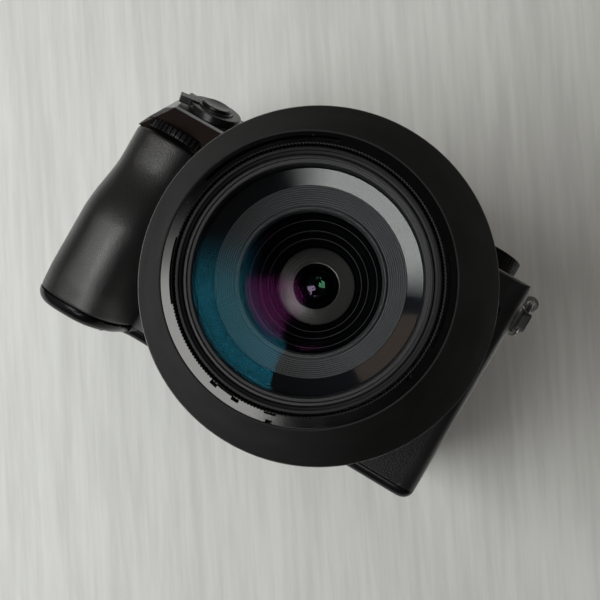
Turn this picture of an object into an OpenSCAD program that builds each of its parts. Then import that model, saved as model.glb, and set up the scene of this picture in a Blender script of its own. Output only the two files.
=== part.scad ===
// Medium format mirrorless camera with a retracted zoom lens, a screw-in filter and a hood stored in reverse.
// Millimetres. The base lies on z = 0, the lens looks along -Y, the grip is on the -X side.
// The origin is the mouth of the tripod socket, straight below the lens axis.

/* [Body] */
// width of the body without the grip bulge
body_w = 148; // [140:1:160]
// depth of the body from front face to rear face
body_d = 46; // [44:1:52]
// height of the top deck above the base
deck_h = 88; // [87:0.5:94]
// height of the finder hump above the deck
hump_rise = 13; // [11:0.5:18]
// how far the lens axis sits off the middle of the body
axis_offset = 10; // [8:0.5:14]
// radius of the upright body corners
corner_r = 7; // [5:0.5:9]
// wall of the body covers
wall = 2.4; // [2:0.1:2.8]

/* [Grip] */
// how far the grip stands in front of the body
grip_reach = 29; // [27:0.5:34]
// width of the grip at its foot
grip_w = 32; // [31:0.5:35]
// how far the upper fingers sit back from the foot of the grip
finger_setback = 6.5; // [4:0.5:7]

/* [Lens] */
// radius of the widest part of the barrel
barrel_r = 42.4; // [42:0.1:43.4]
// length from flange to the front rim of the inner barrel
lens_len = 74; // [73:0.5:80]
// radius of the front element
element_r = 18.6; // [16:0.2:18.8]
// how far the rim of the filter stands outside its thread
filter_rim = 1.4; // [1:0.1:1.6]
// outer radius of the wide rim of the hood
hood_r = 52; // [50:0.5:55]
// length of the hood
hood_len = 35; // [32:0.5:36]

/* [Controls] */
// radius of the mode dial
mode_r = 14; // [11:0.5:15]
// radius of the front dial
front_dial_r = 13; // [12:0.1:13.1]
// radius of the shutter button
shutter_r = 5; // [4:0.1:5.2]
// radius of the rear push buttons
button_r = 3.3; // [2.6:0.1:4]
// width of the tilting screen
screen_w = 82; // [74:1:84]

/* [Hidden] */
$fn = 64;
fine = 96;
// clearance round pieces that move, and round pieces that are only seated
gap = 0.3;
fit = 0.05;

body_l = -body_w / 2 - axis_offset;
body_r = body_w / 2 - axis_offset;
front_y = -22;
rear_y = front_y + body_d;
split_y = -6;
plate_t = 4;
seam_z = deck_h - 10;
axis_h = 50;
flange_y = -26.7;
far = 300;

// grip
grip_l = body_l - 2;
grip_top = deck_h - 20;
grip_steps = 26;
grip_rings = 22;

// battery well
bat_x = [body_l + 4, body_l + 24];
bat_y = [-37, -3];
bat_top = grip_top - 13;
door_t = 2.4;
door_x = [bat_x[0] - 1, bat_x[1] + 0.6];
door_y = [bat_y[0] - 1, bat_y[1] + 1];
knuckle_r = 1.2;
door_axis = [door_x[1] + 0.6, 0, knuckle_r];

// mount
mount_depth = front_y + wall - flange_y;
mount_r = 38.9;
throat_r = 32.8;
claw_r = 30.9;
tube_r = 30.6;
pin_pcd = 35.85;
mount_angles = [15, 165, 225, 285];
lock_angle = -30;
lock_pos = [pin_pcd * cos(lock_angle), pin_pcd * sin(lock_angle) + axis_h];
release_pos = [lock_pos[0] + 12, lock_pos[1] - 2];

// inner stack
stack_top = seam_z - 2;
chassis_z = [12, stack_top];
chassis_w = 37;
chassis_front = front_y + wall;
chassis_back = -9.4;
board_l = body_l + 39;
shutter_back = -3;
sensor_back = 5;
board_back = 7.6;

// turret on the grip side
turret_x = [body_l + 1, body_l + 31];
turret_tilt = 26.565;
turret_slope = tan(turret_tilt);
turret_lip = [-44, deck_h - 9];
turret_top_y = turret_lip[0] + (deck_h - turret_lip[1]) / turret_slope;
shutter_y = turret_lip[0] + 8;
shutter_pos = [body_l + 22, shutter_y, turret_lip[1] + (shutter_y - turret_lip[0]) * turret_slope];
collar_r = shutter_r + 1.15;
lever_r = collar_r + 3;
front_dial_pos = [body_l + 16, -32.5, grip_top + 1.2];
front_dial_t = 3;
// the outer shoulder of the deck, and the leaning plane that trims the front corner of the turret
shoulder_in = 8;
bevel_foot = [body_l + 3, -36, grip_top + 4.2];
bevel_turn = 31;
bevel_lean = 30;
rear_dial_pos = [body_l + 22, rear_y - 7.5, seam_z + 1.6];
rear_dial_r = 10.5;
rear_dial_t = 3.8;
shaft_r = 1.5;

// deck furniture
mode_pos = [body_r - 19, 3];
mode_t = 7.6;
lock_r = 3.5;
top_button_pos = [body_l + 18, -9];
top_button_r = 3;
display_x = [body_l + 32, body_l + 54];
display_y = [-12, 11];
deck_t = 2.4;
display_t = 0.8;

// finder hump
hump_top = deck_h + hump_rise;
hump_y = [-25, 27];
hump_half = [28, 18];
hump_cut = 14;
finder_z = [deck_h - 3, deck_h + 9];
finder_half = 11;
cup_z = [deck_h - 7, deck_h + 13.4];
cup_half = 19;
cup_depth = 9;
dioptre_pos = [18.6, 19, deck_h + 5];
dioptre_len = 7.6;
dioptre_r = 4.2;

// hot shoe
shoe_y = [-8, 11];
shoe_half = 11;
shoe_slot = 9.35;
shoe_lip = 6.3;

// rear controls
screen_mid = 4;
screen_x = [screen_mid - screen_w / 2, screen_mid + screen_w / 2];
screen_z = [10.5, seam_z - 8];
screen_y = [rear_y - 5, rear_y];
glass_t = 0.6;
tray_floor = rear_y - 9;
recess_z = [5.8, seam_z - 2];
arm_x = [screen_x[0] + 8, screen_x[1] - 8];
arm_y = rear_y - 6.6;
arm_z = [12, seam_z - 9.5];
arm_t = 1.6;
trunnion_r = 0.8;
ear_r = trunnion_r + 0.5;
play_pos = [body_l + 33, 20];
menu_pos = [body_l + 20, 20];
focus_pos = [body_l + 34, seam_z - 9];
stick_pos = [body_l + 31, seam_z - 23];
stick_r = 3.8;

// side doors
card_door_y = [-2, 14];
card_door_z = [12, grip_top - 12];
port_door_y = [-3, 14.7];
port_door_z = [14, seam_z - 9];
port_z = [17, seam_z - 12];
port_step = (port_z[1] - port_z[0]) / 4;

// strap lugs
lug_right = [body_r + 3.4, -8, deck_h - 4.2];
lug_left = [body_l - 3.4, 6, deck_h - 14];
lug_hole = 1.3;
lug_r = 3;
lug_t = 3;
wire_r = 0.8;
ring_drop = 12.5;
ring_half = [3, 6.6];

// lens stations along the axis, from the flange forwards
base_end = 21.5;
collar_z = [40.5, 45.5];
barrel_end = lens_len - 14;
seat_r = barrel_r - 3.4;
focus_seat_r = seat_r - 0.6;
bore_r = barrel_r - 7.6;
foot_r = barrel_r - 5;
rear_bore_r = bore_r - 3.8;
inner_r = bore_r - gap;
inner_wall = inner_r - 2.5;
groove_r = inner_r - 1.2;
lip_r = inner_r - 0.5;
inner_back = 28;
groove_z = [lens_len - 6.7, lens_len - 2.5];
thread_r = inner_r - 3.5;
filter_r = thread_r + filter_rim;
filter_lip = thread_r - 2.6;
pane_r = thread_r - 0.9;
bulkhead_z = [lens_len - 22, lens_len - 19.5];
iris_z = [36, 39];
cell_r = 23;
filter_back = lens_len - 3.4;
filter_front = lens_len + 5;
glass_z = [lens_len + 0.6, lens_len + 2.4];
hood_front = filter_front + 0.3;
hood_mount_r = inner_r - 0.25;
hood_bore_r = filter_r + 0.35;
hood_face_r = hood_bore_r + 3.15;
hood_step = lens_len + 0.6;
hood_neck = hood_front - groove_z[0] - 0.3;

// shared shapes

function smooth(a, b, v) = let (t = max(0, min(1, (v - a) / (b - a)))) t * t * (3 - 2 * t);

function power(v, e) = sign(v) * pow(abs(v), e);

// outline of the grip at one height, from the outer side round the front to the inner side
function grip_outline(z, inset) =
    let (
        rise = smooth(0.5, 0.84, z / grip_top),
        left = grip_l + 1.2 * rise + inset,
        right = grip_l + grip_w - 2 * rise - inset,
        reach = grip_reach - finger_setback * rise - 1.6 * (1 - smooth(0.05, 0.2, z / grip_top)) - inset,
        mid = (left + right) / 2,
        half = (right - left) / 2
    )
    [for (i = [0:grip_steps])
        let (t = 180 * i / grip_steps)
        [mid - half * power(cos(t), 0.72), front_y - reach * pow(sin(t), 0.78)]];

// a solid through equal rings, lowest ring first
module loft(rings) {
    count = len(rings[0]);
    levels = len(rings);
    sides = [for (k = [0:levels - 2], i = [0:count - 1])
        let (j = (i + 1) % count, a = k * count, b = a + count)
        each [[a + i, b + i, b + j], [a + i, b + j, a + j]]];
    floor_face = [[for (i = [0:count - 1]) i]];
    roof_face = [[for (i = [0:count - 1]) levels * count - 1 - i]];
    polyhedron(points = [for (ring = rings) each ring], faces = concat(floor_face, sides, roof_face));
}

module slab(x, y, z) {
    translate([x[0], y[0], z[0]])
        cube([x[1] - x[0], y[1] - y[0], z[1] - z[0]]);
}

// rounded rectangle with straight sides and true arcs
module rounded(x, y, r) {
    translate([x[0] + r, y[0]])
        square([x[1] - x[0] - 2 * r, y[1] - y[0]]);
    translate([x[0], y[0] + r])
        square([x[1] - x[0], y[1] - y[0] - 2 * r]);
    for (cx = [x[0] + r, x[1] - r], cy = [y[0] + r, y[1] - r])
        translate([cx, cy])
            circle(r);
}

module body_plan(inset) {
    rounded([body_l + inset, body_r - inset], [front_y + inset, rear_y - inset], corner_r - inset);
}

// flat shape in x and z, drawn out along y
module along_y(y) {
    translate([0, y[1], 0])
        rotate([90, 0, 0])
            linear_extrude(y[1] - y[0])
                children();
}

// flat shape in y and z, drawn out along x
module along_x(x) {
    translate([x[0], 0, 0])
        rotate([90, 0, 90])
            linear_extrude(x[1] - x[0])
                children();
}

// children stand on the lens flange, their z axis pointing out of the lens
module on_lens() {
    translate([0, flange_y, axis_h])
        rotate([90, 0, 0])
            children();
}

module lathe(profile) {
    rotate_extrude($fn = fine)
        polygon(profile);
}

module tube(r_out, r_in, z) {
    translate([0, 0, z[0]])
        rotate_extrude($fn = fine)
            translate([r_in, 0])
                square([r_out - r_in, z[1] - z[0]]);
}

// part of a tube, from one angle to another
module sector(r_out, r_in, z, from, span) {
    translate([0, 0, z[0]])
        rotate([0, 0, from])
            rotate_extrude(angle = span, $fn = fine)
                translate([r_in, 0])
                    square([r_out - r_in, z[1] - z[0]]);
}

// children stand on the slanted face of the shutter turret
module on_turret() {
    translate(shutter_pos)
        rotate([turret_tilt, 0, 0])
            children();
}

// cylinder pointing from the rear face outwards
module rear_peg(pos, r, y) {
    translate([pos[0], y[1], pos[1]])
        rotate([90, 0, 0])
            cylinder(r = r, h = y[1] - y[0]);
}

// a finger wheel with a toothed rim
module toothed(r, h, teeth, depth) {
    linear_extrude(h)
        polygon([for (i = [0:teeth * 4 - 1])
            let (a = 360 * i / (teeth * 4), low = i % 4 > 1 ? depth : 0)
            [(r - low) * cos(a), (r - low) * sin(a)]]);
}

module push_button(r, reach) {
    rotate_extrude()
        polygon([[0, -1.6], [r + 0.7, -1.6], [r + 0.7, -0.7], [r, -0.7], [r, reach - 0.5],
            [r - 0.6, reach - 0.1], [0, reach]]);
}

// body covers

base_screws = [[body_r - wall - 2, front_y + 9, 0], [body_r - wall - 2, rear_y - 9, 0],
    [body_l + wall + 2, rear_y - 9, 0], [-22, front_y + wall + 2, 0], [22, front_y + wall + 2, 0]];

module screw_posts(front) {
    for (p = base_screws)
        if ((p[1] < split_y) == front)
            translate([p[0], p[1], plate_t])
                cylinder(r = 2.6, h = 7);
}

module screw_bores() {
    for (p = base_screws)
        translate([p[0], p[1], -1])
            cylinder(r = 0.9 + fit, h = 11);
}

module mount_hole() {
    on_lens()
        translate([0, 0, -mount_depth])
            cylinder(r = mount_r + 2 * fit, h = 40, $fn = fine);
}

module battery_well() {
    slab([bat_x[0] - 0.6, bat_x[1] + 0.6], [bat_y[0] - 0.6, bat_y[1] + 0.6], [-1, bat_top + 0.6]);
}

module front_cover() {
    color("#242426")
    difference() {
        union() {
            intersection() {
                translate([0, 0, plate_t])
                    linear_extrude(seam_z - plate_t)
                        difference() {
                            body_plan(0);
                            body_plan(wall);
                        }
                slab([-far, far], [-far, split_y], [0, far]);
            }
            screw_posts(true);
        }
        mount_hole();
        battery_well();
        screw_bores();
        wheel_pocket(front_dial_pos, front_dial_r, front_dial_t);
        translate([release_pos[0], front_y - 1, release_pos[1]])
            rotate([-90, 0, 0])
                cylinder(r = 2.5 + gap, h = wall + 2);
    }
}

module door_post(x, y, z, outward) {
    translate([x, y, z])
        cylinder(r = 2.2, h = outward);
}

module rear_shell() {
    intersection() {
        translate([0, 0, plate_t])
            linear_extrude(seam_z - plate_t)
                difference() {
                    body_plan(0);
                    body_plan(wall);
                }
        slab([-far, far], [split_y, far], [0, far]);
    }
    slab([screen_x[0] - 3, screen_x[1] + 3], [tray_floor - wall, rear_y - 0.5], [plate_t, seam_z]);
    for (z = [card_door_z[0] - 3, card_door_z[1]])
        door_post(body_l + 1.6, card_door_y[1], z, 3);
    for (z = [port_door_z[0] - 3, port_door_z[1]])
        door_post(body_r - 1.6, port_door_y[0], z, 3);
    intersection() {
        translate([body_l + 14, rear_y - 14, 0])
            cylinder(r = 19, h = seam_z - 16, $fn = fine);
        along_y([rear_y - 1, rear_y + 8])
            rounded([body_l + 0.4, body_l + 26], [28, seam_z - 16.1], 6);
    }
}

module rear_cover() {
    color("#242426")
    difference() {
        union() {
            intersection() {
                rear_shell();
                slab([body_l, body_r], [split_y, far], [0, far]);
            }
            screw_posts(false);
        }
        slab([screen_x[0] - 0.7, screen_x[1] + 0.7], [tray_floor, far], recess_z);
        for (p = [play_pos, menu_pos, focus_pos])
            rear_peg(p, button_r + 0.2, [rear_y - 6, rear_y + 6]);
        rear_peg(stick_pos, 2.5, [rear_y - 6, rear_y + 6]);
        slab([body_l - 1, body_l + wall + 3], [card_door_y[0] - gap, card_door_y[1] + knuckle_r + 0.5],
            [card_door_z[0] - gap, card_door_z[1] + gap]);
        slab([body_r - wall - 3, body_r + 1], [port_door_y[0] - knuckle_r - 0.5, port_door_y[1] + gap],
            [port_door_z[0] - gap, port_door_z[1] + gap]);
        translate([body_l + knuckle_r, card_door_y[1], card_door_z[0] - 2])
            cylinder(r = 0.7 + fit, h = card_door_z[1] - card_door_z[0] + 4);
        translate([body_r - knuckle_r, port_door_y[0], port_door_z[0] - 2])
            cylinder(r = 0.7 + fit, h = port_door_z[1] - port_door_z[0] + 4);
        battery_well();
        screw_bores();
    }
    color("#242426")
    for (x = [arm_x[0] - 4.3, arm_x[1] + 0.3])
        difference() {
            union() {
                slab([x, x + 4], [tray_floor - 0.1, arm_y], [arm_z[0] - ear_r, arm_z[0] + ear_r]);
                translate([x, arm_y, arm_z[0]])
                    rotate([0, 90, 0])
                        cylinder(r = ear_r, h = 4);
            }
            translate([x - 1, arm_y, arm_z[0]])
                rotate([0, 90, 0])
                    cylinder(r = trunnion_r + fit, h = 6);
        }
}

module turret_block() {
    along_x(turret_x)
        polygon([[front_y, grip_top], [turret_lip[0] + 4, grip_top], [turret_lip[0] + 1, grip_top + 5.2],
            turret_lip, [turret_top_y, deck_h], [front_y + 4, deck_h], [front_y + 4, seam_z], [front_y, seam_z]]);
}

module deck_block() {
    intersection() {
        translate([0, 0, seam_z])
            linear_extrude(deck_h - seam_z)
                body_plan(0);
        along_y([-far, far])
            rounded([body_l - 20, body_r], [0, deck_h], 3);
        along_x([-far, far])
            rounded([front_y, rear_y], [0, deck_h], 3);
    }
}

module hump_block() {
    intersection() {
        along_y(hump_y)
            polygon([[-hump_half[0], seam_z + 2], [-hump_half[0], deck_h - 1], [-hump_half[1], hump_top],
                [hump_half[1], hump_top], [hump_half[0], deck_h - 1], [hump_half[0], seam_z + 2]]);
        along_x([-far, far])
            polygon([[hump_y[0], seam_z + 2], [hump_y[0], deck_h + 3], [hump_y[0] + 6, hump_top],
                [hump_y[1] - 4, hump_top], [hump_y[1], hump_top - 4], [hump_y[1], seam_z + 2]]);
    }
}

// the sloping shoulder above the grip, starting at height z
module shoulder_cut(z) {
    along_y([-far, far])
        polygon([[body_l - 30, z], [body_l - 0.2, z], [body_l + shoulder_in, deck_h + 0.02],
            [body_l + shoulder_in, deck_h + 9], [body_l - 30, deck_h + 9]]);
}

module turret_bevel() {
    translate(bevel_foot)
        rotate([0, bevel_lean, bevel_turn])
            translate([-far, -far / 2, -far / 2])
                cube([far, far, far]);
}

module deck_cavity() {
    difference() {
        translate([0, 0, seam_z - 1])
            linear_extrude(deck_h - seam_z + 1 - deck_t)
                body_plan(wall + 2);
        slab([body_l, turret_x[1] + 2], [-far, far], [0, far]);
        slab([lug_right[0] - 12, far], [lug_right[1] - 6, lug_right[1] + 6], [0, far]);
    }
}

module wheel_pocket(pos, r, t) {
    translate([pos[0], pos[1], pos[2] - 0.2])
        cylinder(r = r + 0.3, h = t + 0.4, $fn = fine);
    translate([pos[0], pos[1], pos[2] - 0.8])
        cylinder(r = shaft_r + fit, h = t + 5);
}

module top_cover() {
    color("#202022")
    difference() {
        union() {
            difference() {
                deck_block();
                shoulder_cut(seam_z);
            }
            difference() {
                turret_block();
                shoulder_cut(grip_top + 2);
                turret_bevel();
            }
            hump_block();
            on_turret()
                translate([0, 0, -1])
                    cylinder(r = collar_r, h = 4.2);
        }
        deck_cavity();
        slab([-hump_cut, hump_cut], [hump_y[0] + 5, hump_y[1] - 3], [seam_z - 1, hump_top - 3]);
        slab([-finder_half - fit, finder_half + fit], [hump_y[1] - 4, far], finder_z);
        mount_hole();
        wheel_pocket(front_dial_pos, front_dial_r, front_dial_t);
        wheel_pocket(rear_dial_pos, rear_dial_r, rear_dial_t);
        on_turret() {
            translate([0, 0, -2.4])
                cylinder(r = shutter_r + 0.2, h = 12);
            translate([0, 0, -7])
                cylinder(r = 1.8 + 0.1, h = 6);
        }
        translate([mode_pos[0], mode_pos[1], 0])
            cylinder(r = 3 + fit, h = far);
        translate([top_button_pos[0], top_button_pos[1], deck_h - deck_t - 4])
            cylinder(r = top_button_r + 0.9, h = 4);
        translate([top_button_pos[0], top_button_pos[1], 0])
            cylinder(r = top_button_r + 0.2, h = far);
        slab([display_x[0] - fit, display_x[1] + fit], [display_y[0] - fit, display_y[1] + fit],
            [deck_h - display_t, far]);
        translate(dioptre_pos)
            rotate([0, 90, 0]) {
                cylinder(r = dioptre_r + gap, h = dioptre_len + 6);
                translate([0, 0, -4])
                    cylinder(r = 1.2 + fit, h = 6);
            }
    }
}

module bottom_plate() {
    color("#1c1c1e")
    difference() {
        union() {
            linear_extrude(1.2) {
                body_plan(1.2);
                polygon(concat(grip_outline(0, 1.2), [[body_r - 60, front_y + 1.2], [body_r - 60, 0],
                    [body_l + 12, 0]]));
            }
            translate([0, 0, 1.2])
                linear_extrude(plate_t - 1.2) {
                    body_plan(0);
                    polygon(grip_outline(plate_t, 0));
                }
        }
        slab([door_x[0] - gap, door_axis[0] + knuckle_r + gap], [door_y[0] - gap, door_y[1] + gap],
            [-1, plate_t + 1]);
        translate([door_axis[0], door_y[0] - 1.6, door_axis[2]])
            rotate([-90, 0, 0])
                cylinder(r = 0.6 + fit, h = door_y[1] - door_y[0] + 3.2);
        translate([0, 0, -1])
            cylinder(r = 6 + fit, h = plate_t + 2);
        screw_bores();
        for (p = base_screws)
            translate([p[0], p[1], -1])
                cylinder(r = 1.9, h = 2.3);
    }
}

module grip_cover() {
    color("#1a1a1a")
    difference() {
        loft([for (k = [0:grip_rings])
            let (z = plate_t + (grip_top - plate_t) * k / grip_rings)
            [for (p = grip_outline(z, 0)) [p[0], p[1], z]]]);
        battery_well();
    }
}

module front_skin() {
    color("#1a1a1a")
    difference() {
        along_y([front_y - 0.8, front_y])
            rounded([28, body_r - corner_r], [plate_t + gap, seam_z - 2], 1.5);
        on_lens()
            cylinder(r = mount_r + 2.4, h = 60, center = true, $fn = fine);
        rear_peg(release_pos, 6, [front_y - 3, front_y + 3]);
    }
}

// inside the body

module chassis() {
    color("#6e7074")
    difference() {
        slab([-chassis_w, chassis_w], [chassis_front, chassis_back], chassis_z);
        on_lens()
            cylinder(r = claw_r, h = 60, center = true, $fn = fine);
        slab([lock_pos[0] - 4, chassis_w + 1], [chassis_front - 1, chassis_back - 1.5], [lock_pos[1] - 5, lock_pos[1] + 4]);
        on_lens()
            for (a = mount_angles)
                rotate([0, 0, a])
                    translate([pin_pcd, 0, -12])
                        cylinder(r = 0.9 + fit, h = 12);
        for (p = base_screws)
            translate([p[0], p[1], 0])
                cylinder(r = 3, h = 14);
    }
}

module mount_ring() {
    color("#b9bbbd")
    difference() {
        on_lens() {
            tube(mount_r, throat_r, [-mount_depth, 0]);
            for (a = [20, 140, 260])
                sector(throat_r + 0.1, claw_r, [-2.2, -0.2], a, 55);
        }
        on_lens() {
            for (a = mount_angles)
                rotate([0, 0, a])
                    translate([pin_pcd, 0, 0]) {
                        translate([0, 0, -1.4])
                            cylinder(r = 1.7 + fit, h = 3);
                        translate([0, 0, -8])
                            cylinder(r = 0.9 + fit, h = 9);
                    }
            rotate([0, 0, lock_angle])
                translate([pin_pcd, 0, -8])
                    cylinder(r = 1.3 + 0.1, h = 9);
        }
    }
}

module screw(head, shank, length) {
    cylinder(r = head, h = 1);
    translate([0, 0, -length])
        cylinder(r = shank, h = length + 0.1);
}

module screws() {
    color("#3a3a3c") {
        on_lens()
            for (a = mount_angles)
                rotate([0, 0, a])
                    translate([pin_pcd, 0, -1.4])
                        screw(1.7, 0.9, 9);
        for (p = base_screws)
            translate([p[0], p[1], 1.3])
                rotate([180, 0, 0])
                    screw(1.7, 0.9, 7);
    }
}

module shutter_unit() {
    color("#2c2c30") {
        difference() {
            slab([-35, 35], [chassis_back, shutter_back], [24, stack_top]);
            slab([-23, 23], [chassis_back - 1, shutter_back + 1], [axis_h - 15, axis_h + 15]);
            slab([-26, 26], [chassis_back + 2, chassis_back + 3.6], [28, stack_top - 4]);
        }
        slab([-25.9, 25.9], [chassis_back + 2.05, chassis_back + 2.7], [axis_h + 0.4, stack_top - 4.1]);
        slab([-25.9, 25.9], [chassis_back + 2.8, chassis_back + 3.5], [28.1, axis_h]);
    }
}

module sensor_unit() {
    color("#41506a")
    union() {
        slab([-34, 34], [1, sensor_back], [24, stack_top]);
        slab([-25, 25], [-2, 1.5], [axis_h - 20, stack_top - 6]);
        for (x = [-34, 29], z = [24, stack_top - 5])
            slab([x, x + 5], [shutter_back, 1.5], [z, z + 5]);
    }
}

module main_board() {
    color("#2f5a3a")
    union() {
        slab([board_l, 47], [board_back - 1.6, board_back], [14, stack_top - 2]);
        for (x = [-31, 26], z = [26, stack_top - 7])
            slab([x, x + 5], [sensor_back, board_back - 1], [z, z + 5]);
        slab([-20, 2], [board_back - 0.2, board_back + 1.6], [40, 62]);
        slab([10, 26], [board_back - 0.2, board_back + 1.2], [46, 62]);
        slab([-38, -26], [board_back - 0.2, board_back + 2], [20, 30]);
    }
}

module battery() {
    color("#3c3c40")
    along_y(bat_y)
        rounded(bat_x, [door_t + 0.3, bat_top], 1.5);
}

module card_slot() {
    color("#8d9094")
    difference() {
        slab([body_l + 5.6, board_l], [0, 11], [16, 50]);
        for (y = [2, 6.4])
            slab([body_l, board_l - 1.5], [y, y + 2.4], [20, 45]);
    }
    color("#22262c")
    for (y = [2.1, 6.5])
        slab([body_l + 6, board_l - 1.6], [y, y + 2.1], [20.2, 44.6]);
}

// deck furniture

module hot_shoe() {
    color("#c3c5c8")
    difference() {
        slab([-shoe_half, shoe_half], shoe_y, [hump_top, hump_top + 4.2]);
        slab([-shoe_slot, shoe_slot], [shoe_y[0] + 1.4, far], [hump_top + 1, hump_top + 3]);
        slab([-shoe_lip, shoe_lip], [shoe_y[0] + 1.4, far], [hump_top + 2, hump_top + 9]);
    }
}

module top_display() {
    color("#0c0e10")
    slab(display_x, display_y, [deck_h - display_t, deck_h]);
}

module finder_lens() {
    color("#26303a")
    along_y([hump_y[1] - 2.6, hump_y[1] - 0.4])
        rounded([-finder_half, finder_half], [finder_z[0] + fit, finder_z[1] - fit], 2);
}

module eyecup() {
    color("#151515")
    along_y([hump_y[1], hump_y[1] + cup_depth])
        difference() {
            rounded([-cup_half, cup_half], cup_z, 6);
            rounded([-finder_half - 1, finder_half + 1], [finder_z[0] - 1, finder_z[1] + 1], 3);
        }
}

module lug(pos, side) {
    difference() {
        union() {
            translate([pos[0], pos[1] + lug_t / 2, pos[2]])
                rotate([90, 0, 0])
                    cylinder(r = lug_r, h = lug_t);
            slab([min(pos[0], pos[0] - side * 3.4), max(pos[0], pos[0] - side * 3.4)],
                [pos[1] - lug_t / 2, pos[1] + lug_t / 2], [pos[2] - 2.4, pos[2] + 1.4]);
        }
        translate([pos[0], pos[1] + lug_t, pos[2]])
            rotate([90, 0, 0])
                cylinder(r = lug_hole, h = 2 * lug_t);
    }
}

module strap_lugs() {
    color("#b9bbbd") {
        lug(lug_right, 1);
        lug(lug_left, -1);
    }
}

module rod(a, b, r) {
    d = b - a;
    translate(a)
        rotate([0, acos(d[2] / norm(d)), atan2(d[1], d[0])])
            cylinder(r = r, h = norm(d), $fn = 24);
}

module ring_wire(r) {
    corners = [[0, -ring_half[0], 0], [0, ring_half[0], 0], [0, ring_half[1], -ring_drop],
        [0, -ring_half[1], -ring_drop]];
    for (i = [0:3]) {
        rod(corners[i], corners[(i + 1) % 4], r);
        translate(corners[i])
            sphere(r * 1.3, $fn = 24);
    }
}

module ring_cover() {
    difference() {
        slab([-1.8, 1.8], [-6.6, 6.6], [-ring_drop + 1.4, -3.6]);
        ring_wire(wire_r + fit);
    }
}

module strap_ring_left() {
    color("#c8cacc")
    translate(lug_left)
        ring_wire(wire_r);
}

module strap_ring_right() {
    color("#c8cacc")
    translate(lug_right)
        ring_wire(wire_r);
}

module ring_cover_left() {
    color("#141414")
    translate(lug_left)
        ring_cover();
}

module ring_cover_right() {
    color("#141414")
    translate(lug_right)
        ring_cover();
}

module port_block() {
    color("#1e2023")
    difference() {
        slab([body_r - 13, body_r - wall - 0.6], [0, 13], port_z);
        for (i = [0:3])
            slab([body_r - 10, far], [3, 10], [port_z[0] + 3 + i * port_step, port_z[0] - 2 + (i + 1) * port_step]);
    }
}

module tripod_socket() {
    color("#a8aaac")
    difference() {
        union() {
            cylinder(r = 6, h = plate_t + 1);
            translate([0, 0, plate_t])
                cylinder(r = 8.5, h = 2.5);
        }
        translate([0, 0, -1])
            cylinder(r = 3.175, h = 6.5);
    }
}

// lens, fixed pieces

module lens_flange() {
    color("#b9bbbd")
    difference() {
        on_lens() {
            tube(37.4, 26, [0, 3]);
            tube(tube_r, 26, [-4.6, 0.1]);
            for (a = [22, 142, 262])
                sector(32.4, tube_r - 0.1, [-4.6, -2.5], a, 50);
        }
        on_lens()
            rotate([0, 0, lock_angle])
                translate([pin_pcd, 0, -1])
                    cylinder(r = 1.5, h = 2.6);
    }
}

module lens_barrel() {
    color("#1f1f21")
    on_lens()
        lathe([[rear_bore_r, 3], [foot_r, 3], [barrel_r - 0.4, 8], [barrel_r, 9], [barrel_r, base_end - 0.5],
            [barrel_r - 0.5, base_end], [seat_r, base_end], [seat_r, collar_z[0]], [barrel_r - 0.6, collar_z[0]],
            [barrel_r - 0.2, collar_z[0] + 0.5], [barrel_r - 1.2, collar_z[1]], [focus_seat_r, collar_z[1]],
            [focus_seat_r, barrel_end - 3], [focus_seat_r + 1.8, barrel_end - 3], [focus_seat_r + 1.8, barrel_end - 0.6],
            [focus_seat_r + 1.2, barrel_end], [bore_r, barrel_end], [bore_r, 12], [rear_bore_r, 12]]);
}

module lens_cell() {
    color("#2a2a2c")
    on_lens()
        lathe([[20, 3], [rear_bore_r - 0.2, 3], [rear_bore_r - 0.2, 5.5], [cell_r, 5.5], [cell_r, iris_z[1] + 3], [20, iris_z[1] + 3]]);
}

// a lens between two spherical faces, its rim a short cylinder
function dome(r, z, sag, steps) = [for (i = [0:steps])
    let (u = r * i / steps)
    [u, z + sag * (1 - u * u / (r * r))]];

function reversed(list) = [for (i = [len(list) - 1:-1:0]) list[i]];

module glass_lens(r, back, front, back_sag, front_sag) {
    lathe(concat(dome(r, front, front_sag, 16), reversed(dome(r, back, -back_sag, 16))));
}

module rear_lens() {
    color("#9fb6c4")
    on_lens() {
        glass_lens(6.5, iris_z[0] + 0.6, iris_z[1] - 1, 0.6, 0.8);
        glass_lens(19.9, 9, 12, 2, 2);
    }
}

module iris_unit() {
    color("#55585c")
    on_lens()
        lathe([[6.6, iris_z[0]], [19.9, iris_z[0]], [19.9, iris_z[1] - 1.6], [11.6, iris_z[1] - 1.6],
            [11.4, iris_z[1] - 0.2], [10.8, iris_z[1]], [7.4, iris_z[1] - 0.6], [6.6, iris_z[1] - 1.2]]);
}

// lens, moving pieces

module zoom_ring() {
    color("#1f1f21")
    on_lens()
        tube(barrel_r - 1.6, seat_r + gap, [base_end + gap, collar_z[0] - gap]);
}

module zoom_grip() {
    color("#161616")
    on_lens()
        tube(barrel_r - 0.1, barrel_r - 1.6, [base_end + 2, collar_z[0] - 2]);
}

module focus_ring() {
    color("#1f1f21")
    on_lens()
        tube(focus_seat_r + 1.2, focus_seat_r + gap, [collar_z[1] + gap, barrel_end - 3 - gap]);
}

module focus_grip() {
    color("#161616")
    on_lens()
        tube(focus_seat_r + 2.4, focus_seat_r + 1.2, [collar_z[1] + 1, barrel_end - 4]);
}

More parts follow.
